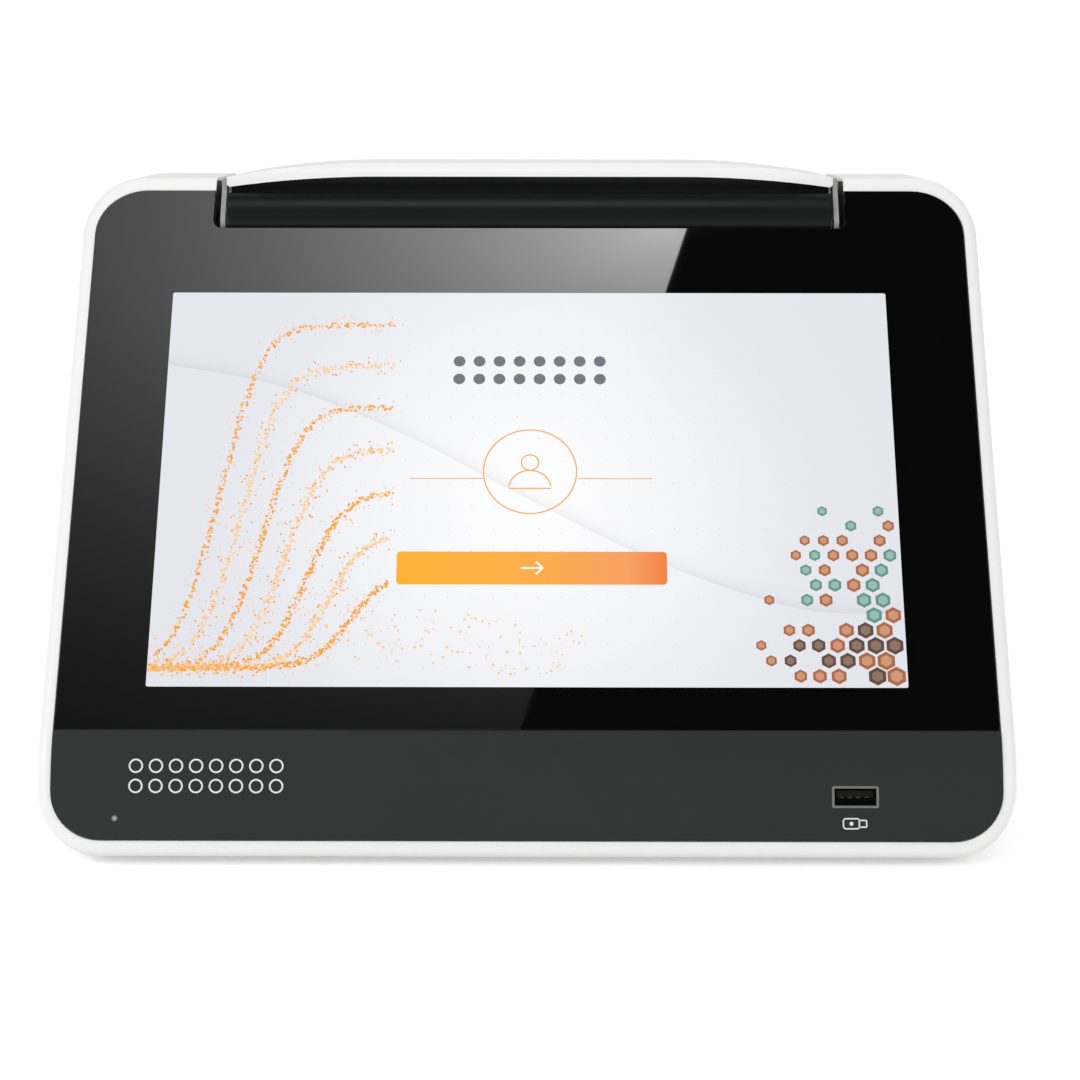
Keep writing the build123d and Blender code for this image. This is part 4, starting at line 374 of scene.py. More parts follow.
def makeHandling(look):
    # Faint marks of wiping and touching on polished surfaces
    inputs = {"Vector": "Vector", "Clean": "Float", "Touched": "Float"}
    group, given, result = newGroup("wipeMarks", inputs, {"Roughness": "Float"})
    stretched = vectorNode(group, "MULTIPLY", given["Vector"], look["stretch"])
    marks = noiseNode(group, stretched, 1.0, look["detail"], look["distortion"])
    roughness = rangeNode(group, marks, look["shown"], (given["Clean"], given["Touched"]))
    feed(group, result, {"Roughness": roughness})
    return group


def makeGlow():
    # Pale picture of a display, brighter towards its middle, with a fold that shades it
    inputs = {
        "Vector": "Vector", "Middle": "Vector", "Reach": "Float", "Edge": "Color", "Centre": "Color",
        "Shade": "Float",
    }
    group, given, result = newGroup("displayGlow", inputs, {"Color": "Color"})
    distance = vectorNode(group, "DISTANCE", given["Vector"], given["Middle"], result="Value")
    share = mathNode(group, "DIVIDE", distance, given["Reach"])
    fade = rangeNode(group, share, interpolation_type="SMOOTHSTEP")
    blend = mixColors(group, fade, given["Centre"], given["Edge"])
    color = scaledColor(group, blend, mathNode(group, "SUBTRACT", 1.0, given["Shade"]))
    feed(group, result, {"Color": color})
    return group


grainGroup = makeGrain(grainLook)
brushedGroup = makeBrushed(linesLook)
handlingGroup = makeHandling(marksLook)
glowGroup = makeGlow()
materials = {}


def startMaterial(name, plain):
    # plain holds what is the same all over the surface
    materials[name], tree = newMaterial(name)
    shader = tree.nodes["Principled BSDF"]
    feed(tree, shader.inputs, plain)
    return tree, shader, addNode(tree, "ShaderNodeTexCoord").outputs["Object"]


def placeGroup(tree, group, place, **values):
    return addNode(tree, "ShaderNodeGroup", {"Vector": place, **values}, node_tree=group).outputs


def dress(tree, shader, effect, strength, depth):
    # Colour, roughness and bump from the outputs of a group
    values = {"Strength": strength, "Distance": depth, "Height": effect["Height"]}
    bump = addNode(tree, "ShaderNodeBump", values).outputs["Normal"]
    surface = {"Base Color": effect["Color"], "Roughness": effect["Roughness"], "Normal": bump}
    feed(tree, shader.inputs, surface)


# Moulded plastics, rubbers, prints and coated boards: colour, least and most rough, grain, drift and bump
mouldedLooks = {
    "whiteShell": ((0.88, 0.88, 0.875, 1), (0.3, 0.42), 2200, 0.02, 0.06),
    "chinDark": ((0.0195, 0.0215, 0.0208, 1), (0.5, 0.62), 2600, 0.08, 0.12),
    "blackTrim": ((0.006, 0.0072, 0.0068, 1), (0.3, 0.4), 2400, 0.1, 0.08),
    # lidEdge: grey painted shade for the outer front edges of the lid's white sides
    "lidEdge": ((0.3, 0.3, 0.29, 1), (0.3, 0.42), 2000, 0.05, 0.06),
    "greyPlastic": ((0.24, 0.25, 0.26, 1), (0.45, 0.6), 1500, 0.06, 0.2),
    "deckGrey": ((0.13, 0.138, 0.145, 1), (0.42, 0.58), 1300, 0.06, 0.25),
    "rubber": ((0.022, 0.022, 0.023, 1), (0.7, 0.9), 1200, 0.2, 0.3),
    "silicone": ((0.42, 0.42, 0.41, 1), (0.5, 0.7), 900, 0.1, 0.15),
    "solderMask": ((0.012, 0.11, 0.045, 1), (0.22, 0.38), 700, 0.25, 0.1),
    "ceramic": ((0.82, 0.81, 0.78, 1), (0.5, 0.65), 1600, 0.03, 0.12),
    "heaterFilm": ((0.42, 0.12, 0.035, 1), (0.35, 0.5), 800, 0.15, 0.1),
    "printWhite": ((0.78, 0.78, 0.77, 1), (0.5, 0.6), 3000, 0.04, 0.03),
}
mouldedShine = {"chinDark": 0.3, "blackTrim": 0.2}  # the others have 0.5
grainDepth = 0.0002


def makeMoulded(name, color, rough, grain, drift, bump):
    tree, shader, place = startMaterial(name, {"Specular IOR Level": mouldedShine.get(name, 0.5)})
    surface = placeGroup(
        tree, grainGroup, place, Grain=grain, Color=color, Drift=drift, Smooth=rough[0], Rough=rough[1]
    )
    dress(tree, shader, surface, bump, grainDepth)


# Metals: colour, least and most rough, and how fine their lines are along each axis
metalLooks = {
    "milledAluminium": ((0.77, 0.78, 0.79, 1), (0.27, 0.33), (140, 4200, 4200)),
    "sheetSteel": ((0.56, 0.565, 0.57, 1), (0.32, 0.4), (3000, 120, 3000)),
    "nickelPlate": ((0.62, 0.615, 0.6, 1), (0.12, 0.24), (1600, 90, 1600)),
    "sinteredBronze": ((0.5, 0.31, 0.13, 1), (0.4, 0.6), (900, 900, 900)),
    "brightBrass": ((0.78, 0.57, 0.24, 1), (0.15, 0.3), (2000, 120, 2000)),
    "goldFlash": ((0.9, 0.66, 0.25, 1), (0.12, 0.24), (1800, 200, 1800)),
}
linesBump, linesDepth = 0.04, 0.00002


def makeMetal(name, color, rough, lines):
    tree, shader, place = startMaterial(name, {"Metallic": 1.0})
    surface = placeGroup(
        tree, brushedGroup, place, Stretch=lines, Color=color, Smooth=rough[0], Rough=rough[1]
    )
    dress(tree, shader, surface, linesBump, linesDepth)


# Glass, black-backed on the front, and clear plastic: colour, refraction, clearness, clean and touched
glassLooks = {
    "blackGlass": ((0.0012, 0.0012, 0.0014, 1), 1.5, 0.0, 0.015, 0.045),
    "clearPlastic": ((0.86, 0.92, 0.93, 1), 1.49, 0.9, 0.04, 0.12),
}


def makeGlass(name, color, refraction, clearness, clean, touched):
    plain = {"Base Color": color, "IOR": refraction, "Transmission Weight": clearness}
    tree, shader, place = startMaterial(name, plain)
    marks = placeGroup(tree, handlingGroup, place, Clean=clean, Touched=touched)
    feed(tree, shader.inputs, {"Roughness": marks["Roughness"]})


# Colours of the lit screen, as a display shows them
screenInks = {
    "inkOrange": (246, 166, 60),
    "inkPaleOrange": (250, 208, 160),
    "inkGrid": (234, 222, 212),
    "inkSlate": (112, 116, 124),
    "inkWhite": (255, 255, 255),
    "inkTeal": (104, 150, 142),
    "inkPaleTeal": (152, 190, 180),
    "inkGreen": (148, 176, 82),
    "inkPaleGreen": (188, 208, 132),
    "inkRust": (172, 108, 76),
    "inkPaleRust": (208, 154, 122),
    "inkUmber": (100, 78, 68),
    "inkPaleUmber": (142, 118, 104),
}


litSurface = {
    "Base Color": (0, 0, 0, 1), "Roughness": 0.12, "Specular IOR Level": 0.08, "Emission Strength": 1.0,
}
pixelWeave = {"Grain": 4000.0, "Drift": 0.03, "Smooth": 0.1, "Rough": 0.14}


def makeInk(name, color):
    # The pixels of the screen leave a very slight weave in a plain colour
    tree, shader, place = startMaterial(name, litSurface)
    weave = placeGroup(tree, grainGroup, place, Color=screenColor(*color), **pixelWeave)
    feed(tree, shader.inputs, {"Emission Color": weave["Color"]})


def makeGradient(name, left, width, stops):
    # A blend between display colours, from left to right over that width
    tree, shader, place = startMaterial(name, litSurface)
    across = mapped(tree, place, (-left / width, 0, 0), (1 / width, 1, 1))
    gradient = addNode(tree, "ShaderNodeTexGradient", {"Vector": across}).outputs["Fac"]
    colors = [(position, screenColor(*color)) for position, color in stops]
    feed(tree, shader.inputs, {"Emission Color": rampNode(tree, gradient, colors)})


for makeFinish, looks in ((makeMoulded, mouldedLooks), (makeMetal, metalLooks), (makeGlass, glassLooks)):
    for finishName, finishLook in looks.items():
        makeFinish(finishName, *finishLook)
for inkName, inkColor in screenInks.items():
    makeInk(inkName, inkColor)
print("materials:", len(materials))

# Finish of each slot of the frame
slotFinish = {
    "white_shell": "whiteShell", "screen_glass": "blackGlass", "chin": "chinDark",
    "black_trim": "blackTrim", "grey_plastic": "greyPlastic", "deck_grey": "deckGrey",
    "aluminium": "milledAluminium", "steel": "sheetSteel", "chrome": "nickelPlate",
    "rubber": "rubber", "silicone": "silicone", "board": "solderMask", "ceramic": "ceramic",
    "bronze": "sinteredBronze", "brass": "brightBrass", "clear": "clearPlastic",
    "heater": "heaterFilm",
}


def finishNode(node, materialName):
    for materialSlot in frame["nodes"][node].material_slots:
        materialSlot.material = materials[materialName]


for entry in frame["record"]["subparts"]:
    finishNode(entry["node"], slotFinish[entry["material_slot"]])
print("frame finished")


# Flat graphics are lists of outlines, across and up the front from the chin's low edge
def arcPoints(centre, radius, start, stop, count):
    points = []
    for step in range(count):
        angle = math.radians(start + (stop - start) * step / (count - 1))
        points.append((centre[0] + radius * math.cos(angle), centre[1] + radius * math.sin(angle)))
    return points


def discOutline(centre, radius, sides):
    return arcPoints(centre, radius, 0, 360, sides + 1)[:-1]


def roundedOutline(centre, width, height, radius, steps=6):
    points = []
    for turn, (right, top) in enumerate(((1, 1), (-1, 1), (-1, -1), (1, -1))):
        corner = (centre[0] + right * (width / 2 - radius), centre[1] + top * (height / 2 - radius))
        points += arcPoints(corner, radius, 90 * turn, 90 * turn + 90, steps)
    return points


def stroke(path, width, closed=False):
    # Quads that follow a path with a steady width
    before = (path[-1:] if closed else path[:1]) + path[:-1]
    after = path[1:] + (path[:1] if closed else path[-1:])
    sides = []
    for (x, y), start, end in zip(path, before, after):
        runX, runY = end[0] - start[0], end[1] - start[1]
        length = math.hypot(runX, runY)
        sideX, sideY = -runY / length * width / 2, runX / length * width / 2
        sides.append(((x + sideX, y + sideY), (x - sideX, y - sideY)))
    following = sides[1:] + (sides[:1] if closed else [])
    return [
        [right, nextRight, nextLeft, left] for (left, right), (nextLeft, nextRight) in zip(sides, following)
    ]


printLift = 0.00003  # of the marks on the chin and the rocker
inkThickness = 0.00004  # every printed or lit shape is a closed skin this thick
mergeDistance = 1e-6


def addPiece(name, mesh, materialName, body="case", thickness=None):
    # With a thickness, its flat faces become a closed skin
    mesh.materials.clear()
    mesh.materials.append(materials[materialName])
    piece = linkedObject(name, mesh)
    if thickness:
        weld = piece.modifiers.new("weld", "WELD")
        weld.merge_threshold = mergeDistance
        skin = piece.modifiers.new("skin", "SOLIDIFY")
        skin.thickness = thickness
        skin.offset = 1.0
    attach(piece, body)
    return piece


def addSkin(name, mesh, materialName, slot="screen_glass", body="case"):
    addPiece(name, mesh, materialName, body, inkThickness)


def outlineMesh(name, outlines, place):
    # place turns a point of an outline into a point in space
    vertices, faces = [], []
    for outline in outlines:
        faces.append(tuple(range(len(vertices), len(vertices) + len(outline))))
        vertices += [place(*point) for point in outline]
    return newMesh(name, vertices, faces)


def frontGraphic(name, outlines, lift, *finish):
    addSkin(name, outlineMesh(name, outlines, lambda across, up: frontPoint(across, up, lift)), *finish)


# Geometry Nodes for what repeats
meshOutput = {"Geometry": "Geometry"}


def endTree(tree, points, shape, given, result, scale=(1.0, 1.0, 1.0)):
    # Puts the shape on every point, and closes the tree
    values = {"Points": points, "Instance": shape, "Scale": scale}
    placed = addNode(tree, "GeometryNodeInstanceOnPoints", values)
    realized = addNode(tree, "GeometryNodeRealizeInstances", {"Geometry": placed.outputs["Instances"]})
    values = {"Geometry": realized.outputs["Geometry"], "Material": given["Material"]}
    painted = addNode(tree, "GeometryNodeSetMaterial", values)
    feed(tree, result, {"Geometry": painted.outputs["Geometry"]})


def dotShape(tree, sides, radius):
    values = {"Vertices": sides, "Radius": radius}
    return addNode(tree, "GeometryNodeMeshCircle", values, fill_type="NGON").outputs["Mesh"]


def makeDotGrid():
    inputs = {
        "Columns": "Int", "Rows": "Int", "Pitch X": "Float", "Pitch Y": "Float", "Radius": "Float",
        "Sides": "Int", "Material": "Material",
    }
    tree, given, result = newGroup("dotGrid", inputs, meshOutput)
    layout = {}
    for axis, countName in (("X", "Columns"), ("Y", "Rows")):
        gaps = mathNode(tree, "SUBTRACT", given[countName], 1)
        layout["Size " + axis] = mathNode(tree, "MULTIPLY", gaps, given["Pitch " + axis])
        layout["Vertices " + axis] = given[countName]
    grid = addNode(tree, "GeometryNodeMeshGrid", layout)
    dot = dotShape(tree, given["Sides"], given["Radius"])
    endTree(tree, grid.outputs["Mesh"], dot, given, result)
    return tree


trailDots = {"sides": 6, "sizes": (0.55, 1.35)}  # the sizes are shares of the radius


def makeDotTrail():
    # Dots of mixed sizes that follow a curve, scattered beside it
    inputs = {
        "Curve": "Geometry", "Count": "Int", "Radius": "Float", "Scatter": "Vector", "Seed": "Int",
        "Material": "Material",
    }
    tree, given, result = newGroup("dotTrail", inputs, meshOutput)
    follow = {"Curve": given["Curve"], "Count": given["Count"]}
    points = addNode(tree, "GeometryNodeCurveToPoints", follow, mode="COUNT")
    reach = {"Min": (-1, -1, 0), "Max": (1, 1, 0), "Seed": given["Seed"]}
    stray = addNode(tree, "FunctionNodeRandomValue", reach, data_type="FLOAT_VECTOR")
    offset = vectorNode(tree, "MULTIPLY", stray.outputs["Value"], given["Scatter"])
    moved = addNode(tree, "GeometryNodeSetPosition", {"Geometry": points.outputs["Points"], "Offset": offset})
    smallest, largest = trailDots["sizes"]
    sizes = {2: smallest, 3: largest, "Seed": given["Seed"]}
    size = addNode(tree, "FunctionNodeRandomValue", sizes, data_type="FLOAT")
    dot = dotShape(tree, trailDots["sides"], given["Radius"])
    endTree(tree, moved.outputs["Geometry"], dot, given, result, size.outputs[1])
    return tree


def makeContactRow():
    # Like boxes in a row, such as the contacts of a socket
    inputs = {"Count": "Int", "Pitch": "Float", "Size": "Vector", "Material": "Material"}
    tree, given, result = newGroup("contactRow", inputs, meshOutput)
    gaps = mathNode(tree, "SUBTRACT", given["Count"], 1)
    half = mathNode(tree, "MULTIPLY", mathNode(tree, "MULTIPLY", gaps, given["Pitch"]), -0.5)
    layout = {"Count": given["Count"]}
    for name, across in (("Start Location", half), ("Offset", given["Pitch"])):
        layout[name] = addNode(tree, "ShaderNodeCombineXYZ", {"X": across}).outputs[0]
    line = addNode(tree, "GeometryNodeMeshLine", layout)
    block = addNode(tree, "GeometryNodeMeshCube", {"Size": given["Size"]})
    endTree(tree, line.outputs["Mesh"], block.outputs["Mesh"], given, result)
    return tree


def builtMesh(name, tree, values, materialName, source=None):
    # Runs a tree once and gives its result as a plain mesh
    holder = linkedObject(name + "Holder", source or bpy.data.meshes.new(name + "Holder"))
    modifier = holder.modifiers.new("build", "NODES")
    modifier.node_group = tree
    values = {**values, "Material": materials[materialName]}
    for item in tree.interface.items_tree:
        if item.item_type == "SOCKET" and item.in_out == "INPUT" and item.name in values:
            modifier[item.identifier] = values[item.name]
    mesh = evaluatedMesh(holder)
    mesh.name = name
    return mesh


def evaluatedMesh(holder):
    # The mesh of an object as it ends up, after which the object goes
    mesh = bpy.data.meshes.new_from_object(holder.evaluated_get(bpy.context.evaluated_depsgraph_get()))
    bpy.data.objects.remove(holder)
    return mesh


dotGridTree = makeDotGrid()
dotTrailTree = makeDotTrail()
contactRowTree = makeContactRow()

# The lit screen. Places are across and up from the low edge of the glass
screen = {
    "centre": (0.0, 0.0825),
    "size": (0.2304, 0.1370),
    "corner": 0.0006,
    "lift": 0.00006,
    "step": 0.00007,  # between one layer of the picture and the next
    "brightest": (0.0000, 0.0740),
    "reach": 0.115,
    "edgeColor": (229, 230, 237),
    "middleColor": (252, 252, 253),
}


def onScreen(across, up):
    return (across, front["glassStart"] + up)


def layer(index):
    return screen["lift"] + index * screen["step"]


def inBox(place, centre, size, margin=0.0):
    return all(abs(place[axis] - centre[axis]) < size[axis] / 2 - margin for axis in (0, 1))


def makeGlowMaterial(name, shade=None):
    tree, shader, place = startMaterial(name, litSurface)
    values = {
        "Middle": frontPoint(*onScreen(*screen["brightest"])), "Reach": screen["reach"],
        "Edge": screenColor(*screen["edgeColor"]), "Centre": screenColor(*screen["middleColor"]),
    }
    if shade:
        fade = addNode(tree, "ShaderNodeAttribute", attribute_name="fold").outputs["Fac"]
        values["Shade"] = mathNode(tree, "MULTIPLY", fade, shade)
    glow = placeGroup(tree, glowGroup, place, **values)
    feed(tree, shader.inputs, {"Emission Color": glow["Color"]})


def makePicture():
    makeGlowMaterial("screenGlow")
    outline = roundedOutline(onScreen(*screen["centre"]), *screen["size"], screen["corner"])
    frontGraphic("screen_picture", [outline], layer(0), "screenGlow")


def trimToScreen(mesh, margin, keepClear):
    # Takes away whole dots that reach over the picture's border or into a box kept clear
    work = bmesh.new()
    work.from_mesh(mesh)
    middles = [(face, face.calc_center_median()) for face in work.faces]
    border = screen["centre"], screen["size"], margin
    dropped = [face for face, middle in middles if inBox(middle, *keepClear) or not inBox(middle, *border)]
    bmesh.ops.delete(work, geom=dropped, context="FACES")
    work.to_mesh(mesh)
    work.free()


def addDots(name, mesh, centre, height, ink):
    # Lays flat dots onto the screen round that place
    across, up = onScreen(*centre)
    for vertex in mesh.vertices:
        vertex.co = frontPoint(across + vertex.co.x, up + vertex.co.y, height)
    addSkin(name, mesh, ink)


# A faint grid of dots over the picture
dotPattern = {"Columns": 32, "Rows": 17, "Pitch X": 0.0070, "Pitch Y": 0.0078, "Radius": 0.00024, "Sides": 6}


def makeDotPattern():
    mesh = builtMesh("screen_dots", dotGridTree, dotPattern, "inkGrid")
    addDots("screen_dots", mesh, screen["centre"], layer(1), "inkGrid")


# A fold across the picture: a crisp lower edge, and a shade that fades above it
fold = {
    "points": [(-0.1150, 0.1245), (-0.078, 0.1165), (-0.040, 0.1000), (0.001, 0.0765), (0.041, 0.0552),
               (0.083, 0.0400), (0.1150, 0.0385)],
    "rises": (0.0, 0.0008, 0.0020, 0.0040, 0.0075),
    "shades": (1.0, 0.62, 0.34, 0.13, 0.0),
    "strength": 0.13,
    "steps": 12,  # from one point to the next
}


def smoothPath(points, steps):
    # Passes through every point, with the slopes of its neighbours
    ends = points[:1] + points + points[-1:]
    path = []
    for four in zip(ends, ends[1:], ends[2:], ends[3:]):
        for step in range(steps):
            t = step / steps
            shares = (2 * t**2 - t - t**3, 2 - 5 * t**2 + 3 * t**3, t + 4 * t**2 - 3 * t**3, t**3 - t**2)
            path.append(
                [sum(share * point[axis] for share, point in zip(shares, four)) / 2 for axis in (0, 1)]
            )
    return path + points[-1:]


def bandFaces(first, bands, width, closed=False):
    # Quads between neighbouring rows of vertices, which are numbered from first
    return [
        (row + side, row + width + side, row + width + (side + 1) % width, row + (side + 1) % width)
        for row in range(first, first + bands * width, width)
        for side in range(width if closed else width - 1)
    ]


def makeFold():
    makeGlowMaterial("screenFold", fold["strength"])
    path = smoothPath(fold["points"], fold["steps"])
    rises = fold["rises"]
    vertices = [frontPoint(*onScreen(across, up + rise), layer(2)) for across, up in path for rise in rises]
    mesh = newMesh("screen_fold", vertices, bandFaces(0, len(path) - 1, len(rises)))
    mesh.attributes.new("fold", "FLOAT", "POINT").data.foreach_set("value", fold["shades"] * len(path))
    addSkin("screen_fold", mesh, "screenFold")


# Sign-in symbol: a ring between two lines, with a plain figure
symbol = {
    "ring": (0.0006, 0.0865, 0.0146),  # across, up and radius
    "head": (0.0006, 0.0896, 0.0027),
    "shoulders": (0.0006, 0.0806, 0.0066),
    "shoulderArc": (12, 168),  # degrees
    "shoulderRise": 0.95,
    "line": 0.0004,
    "sideLine": 0.0003,
    "sides": [(-0.0370, -0.0141), (0.0155, 0.0388)],
    "sideUp": 0.0840,
    "steps": {"ring": 72, "head": 28, "shoulders": 22},
}


def makeSymbol():
    steps = symbol["steps"]
    shapes = []
    for ends in symbol["sides"]:
        shapes += stroke([onScreen(end, symbol["sideUp"]) for end in ends], symbol["sideLine"])
    for part in ("ring", "head"):
        across, up, radius = symbol[part]
        shapes += stroke(discOutline(onScreen(across, up), radius, steps[part]), symbol["line"], True)
    across, up, radius = symbol["shoulders"]
    base = onScreen(across, up)[1]
    arch = arcPoints((across, base), radius, *symbol["shoulderArc"], steps["shoulders"])
    body = [(x, base + (y - base) * symbol["shoulderRise"]) for x, y in arch]
    outline = [(across + radius, base)] + body + [(across - radius, base)]
    shapes += stroke(outline, symbol["line"], True)
    frontGraphic("screen_symbol", shapes, layer(4), "inkOrange")


# Button with a plain arrow
button = {
    "centre": (0.0013, 0.0533),
    "size": (0.0834, 0.0111),
    "corner": 0.0012,
    "blend": [(0.0, (252, 178, 50)), (0.55, (250, 172, 74)), (0.85, (249, 163, 100)), (1.0, (244, 132, 70))],
    "arrowHalf": 0.0034,
    "arrowHead": 0.0021,
    "arrowLine": 0.0006,
}


def makeButton():
    width, height = button["size"]
    makeGradient("buttonBlend", button["centre"][0] - width / 2, width, button["blend"])
    centre = onScreen(*button["centre"])
    plate = roundedOutline(centre, width, height, button["corner"])
    frontGraphic("screen_button", [plate], layer(4), "buttonBlend")
    x, y = centre
    half, head = button["arrowHalf"], button["arrowHead"]
    shaft = [(x - half, y), (x + half, y)]
    tip = [(x + half - head, y + head), (x + half, y), (x + half - head, y - head)]
    arrow = stroke(shaft, button["arrowLine"]) + stroke(tip, button["arrowLine"])
    frontGraphic("screen_button_arrow", arrow, layer(5), "inkWhite")


# Curves of a run, drawn in orange dots over the left of the picture
runCurves = {
    "left": -0.1150,
    "right": -0.0430,
    "steps": 24,
    "floor": 0.0200,
    "rises": [0.1190, 0.1040, 0.0890, 0.0740, 0.0590, 0.0450, 0.0320],
    "middles": [-0.0960, -0.0890, -0.0820, -0.0750, -0.0680, -0.0610, -0.0540],
    "steepness": 190.0,
    "trails": [(330, 0.0009, 0.00040), (170, 0.0034, 0.00030)],  # dots, scatter and radius
    "drift": {"path": [(-0.060, 0.0330), (0.016, 0.0250)], "dots": 130, "scatter": (0.006, 0.009, 0.0)},
    "keepClear": ((0.0013, 0.0533), (0.0874, 0.0141)),
    "border": 1.4,  # a dot's least distance from the picture's border, in radii
    "inks": ("inkOrange", "inkPaleOrange"),
    "seeds": {"first": 7, "drift": 41},
}


def dotTrail(name, path, count, scatter, radius, seed, ink, height):
    curve = bpy.data.curves.new("runCurve", "CURVE")
    spline = curve.splines.new("POLY")
    spline.points.add(len(path) - 1)
    for point, (across, up) in zip(spline.points, path):
        point.co = (across, up, 0, 1)
    values = {"Count": count, "Radius": radius, "Scatter": scatter, "Seed": seed}
    mesh = builtMesh(name, dotTrailTree, values, ink, curve)
    trimToScreen(mesh, radius * runCurves["border"], runCurves["keepClear"])
    addDots(name, mesh, (0, 0), height, ink)


def makeRunCurves():
    look = runCurves
    left, right, inks, seeds = look["left"], look["right"], look["inks"], look["seeds"]
    for index, (rise, middle) in enumerate(zip(look["rises"], look["middles"])):
        path = []
        for step in range(look["steps"] + 1):
            across = left + (right - left) * step / look["steps"]
            climb = 1 + math.exp(-look["steepness"] * (across - middle))
            path.append((across, look["floor"] + rise / climb))
        for part, (count, scatter, radius) in enumerate(look["trails"]):
            name = f"screen_run_{index}_{part}"
            seed = seeds["first"] + index * 2 + part
            ink = inks[(index + part) % 2]
            dotTrail(name, path, count, (scatter, scatter, 0), radius, seed, ink, layer(4 + part))
    drift = look["drift"]
    radius = look["trails"][0][2]
    dotTrail(
        "screen_run_drift", drift["path"], drift["dots"], drift["scatter"], radius, seeds["drift"], inks[1],
        layer(6),
    )


# Honeycomb at the lower right, thinning out towards the middle
honeycomb = {
    "corner": (0.1118, 0.0176),
    "pitch": 0.0058,
    "rowShare": 0.866,  # of the pitch, from row to row
    "reach": (0.0430, 0.0640),
    "radius": (0.0032, 0.0017),  # at the corner and at the fringe
    "inner": 0.62,
    "full": 0.25,  # share of the reach within which every cell stands
    "thinning": 0.75,
    "seed": 12,
    "bands": [  # from the bottom upwards: how high each goes, and its two tones
        (0.24, ("Umber", "Rust")), (0.52, ("Rust", "Teal")), (0.80, ("Teal", "Rust")),
        (9.0, ("Teal", "Green")),
    ],
}


def hexagon(centre, radius):
    return arcPoints(centre, radius, 30, 390, 7)[:-1]


def makeHoneycomb():
    dice = random.Random(honeycomb["seed"])
    cornerX, cornerY = honeycomb["corner"]
    reachX, reachY = honeycomb["reach"]
    large, small = honeycomb["radius"]
    pitch = honeycomb["pitch"]
    rise = pitch * honeycomb["rowShare"]
    cells = {}  # by tone
    for row in range(int(reachY / rise) + 1):
        for column in range(int(reachX / pitch) + 1):
            back, height = pitch * (column + 0.5 * (row % 2)), rise * row
            across, up = cornerX - back, cornerY + height
            share = math.hypot(back / reachX, height / reachY)
            radius = large + (small - large) * share
            chance, choice = dice.random(), dice.random()
            missing = share > 1 or chance < honeycomb["thinning"] * (share - honeycomb["full"])
            if missing or not inBox((across, up), screen["centre"], screen["size"], radius):
                continue
            tones = next(tones for limit, tones in honeycomb["bands"] if height < limit * reachY)
            cells.setdefault(tones[int(choice * 2)], []).append((onScreen(across, up), radius))
    for tone, places in cells.items():
        for part, share, ink, level in (("", 1, "ink", 4), ("_core", honeycomb["inner"], "inkPale", 5)):
            shapes = [hexagon(centre, radius * share) for centre, radius in places]
            frontGraphic("screen_cells_" + tone.lower() + part, shapes, layer(level), ink + tone)


# A strip of sixteen wells, on the screen and on the chin
screenWells = {
    "centre": (0.0003, 0.1225),
    "dots": {"Columns": 8, "Rows": 2, "Pitch X": 0.0064, "Pitch Y": 0.0064, "Radius": 0.0019, "Sides": 24},
}
chinWells = {
    "centre": (-0.0957, 0.0190),
    "counts": (8, 2), "pitch": 0.0060, "radius": 0.0019, "sides": 24, "line": 0.0005,
}


def makeWellMarks():
    mesh = builtMesh("screen_well_mark", dotGridTree, screenWells["dots"], "inkSlate")
    addDots("screen_well_mark", mesh, screenWells["centre"], layer(4), "inkSlate")
    across, up = chinWells["centre"]
    columns, rows = chinWells["counts"]
    pitch = chinWells["pitch"]
    rings = []
    for index in range(columns * rows):
        column, row = divmod(index, rows)
        centre = (across + (column - (columns - 1) / 2) * pitch, up + (row - (rows - 1) / 2) * pitch)
        ring = discOutline(centre, chinWells["radius"], chinWells["sides"])
        rings += stroke(ring, chinWells["line"], True)
    frontGraphic("chin_well_mark", rings, printLift, "printWhite", "white_shell")


# Plain picture of a memory stick under the socket
stickMark = {
    "centre": (0.0979, 0.0052),
    "body": (0.0048, 0.0030),
    "bodyCorner": 0.0008,
    "plug": (0.0022, 0.0020),
    "plugCorner": 0.0002,
    "plugSunk": 0.0001,
    "dot": 0.0006,
    "line": 0.0004,
}


def makeStickMark():
    look = stickMark
    across, up = look["centre"]
    bodyCentre = (across - look["plug"][0] / 2, up)
    plugCentre = (across + look["body"][0] / 2 - look["plugSunk"], up)
    body = roundedOutline(bodyCentre, *look["body"], look["bodyCorner"], 5)
    plug = roundedOutline(plugCentre, *look["plug"], look["plugCorner"], 3)
    shapes = stroke(body, look["line"], True) + stroke(plug, look["line"], True)
    shapes.append(discOutline(bodyCentre, look["dot"], 16))
    frontGraphic("chin_stick_mark", shapes, printLift, "printWhite", "white_shell")


makePicture()
makeDotPattern()
makeFold()
makeSymbol()
makeButton()
makeRunCurves()
makeHoneycomb()
makeWellMarks()
makeStickMark()
print("screen and marks made")


# Skins on faces of the frame: the lid's front edges, grey at their outer part as painted shade, and black
# skins on the walls beside the lid as painted shade in the gap
lidEdge = {"depth": 0.0026, "run": 0.0095, "lift": 0.00002, "shown": 0.0016}
slotWallShade = {"half": 0.1035, "within": 0.0003, "from": 0.1482, "lift": 0.00002, "below": 0.0007}


def faceSkin(name, node, chosen, lift, cuts):
    # A copy of the faces that chosen() picks, after cuts at planes, each a point and a direction
    work = bmesh.new()
    work.from_mesh(frame["nodes"][node].data)
    bmesh.ops.remove_doubles(work, verts=work.verts, dist=mergeDistance)
    for point, direction in cuts:
        geometry = work.verts[:] + work.edges[:] + work.faces[:]
        bmesh.ops.bisect_plane(work, geom=geometry, plane_co=point, plane_no=direction)
    dropped = [face for face in work.faces if not chosen(face.calc_center_median(), face.normal)]
    bmesh.ops.delete(work, geom=dropped, context="FACES")
    work.normal_update()
    for vertex in work.verts:
        vertex.co += vertex.normal * lift
    mesh = bpy.data.meshes.new(name)
    work.to_mesh(mesh)
    work.free()
    return mesh


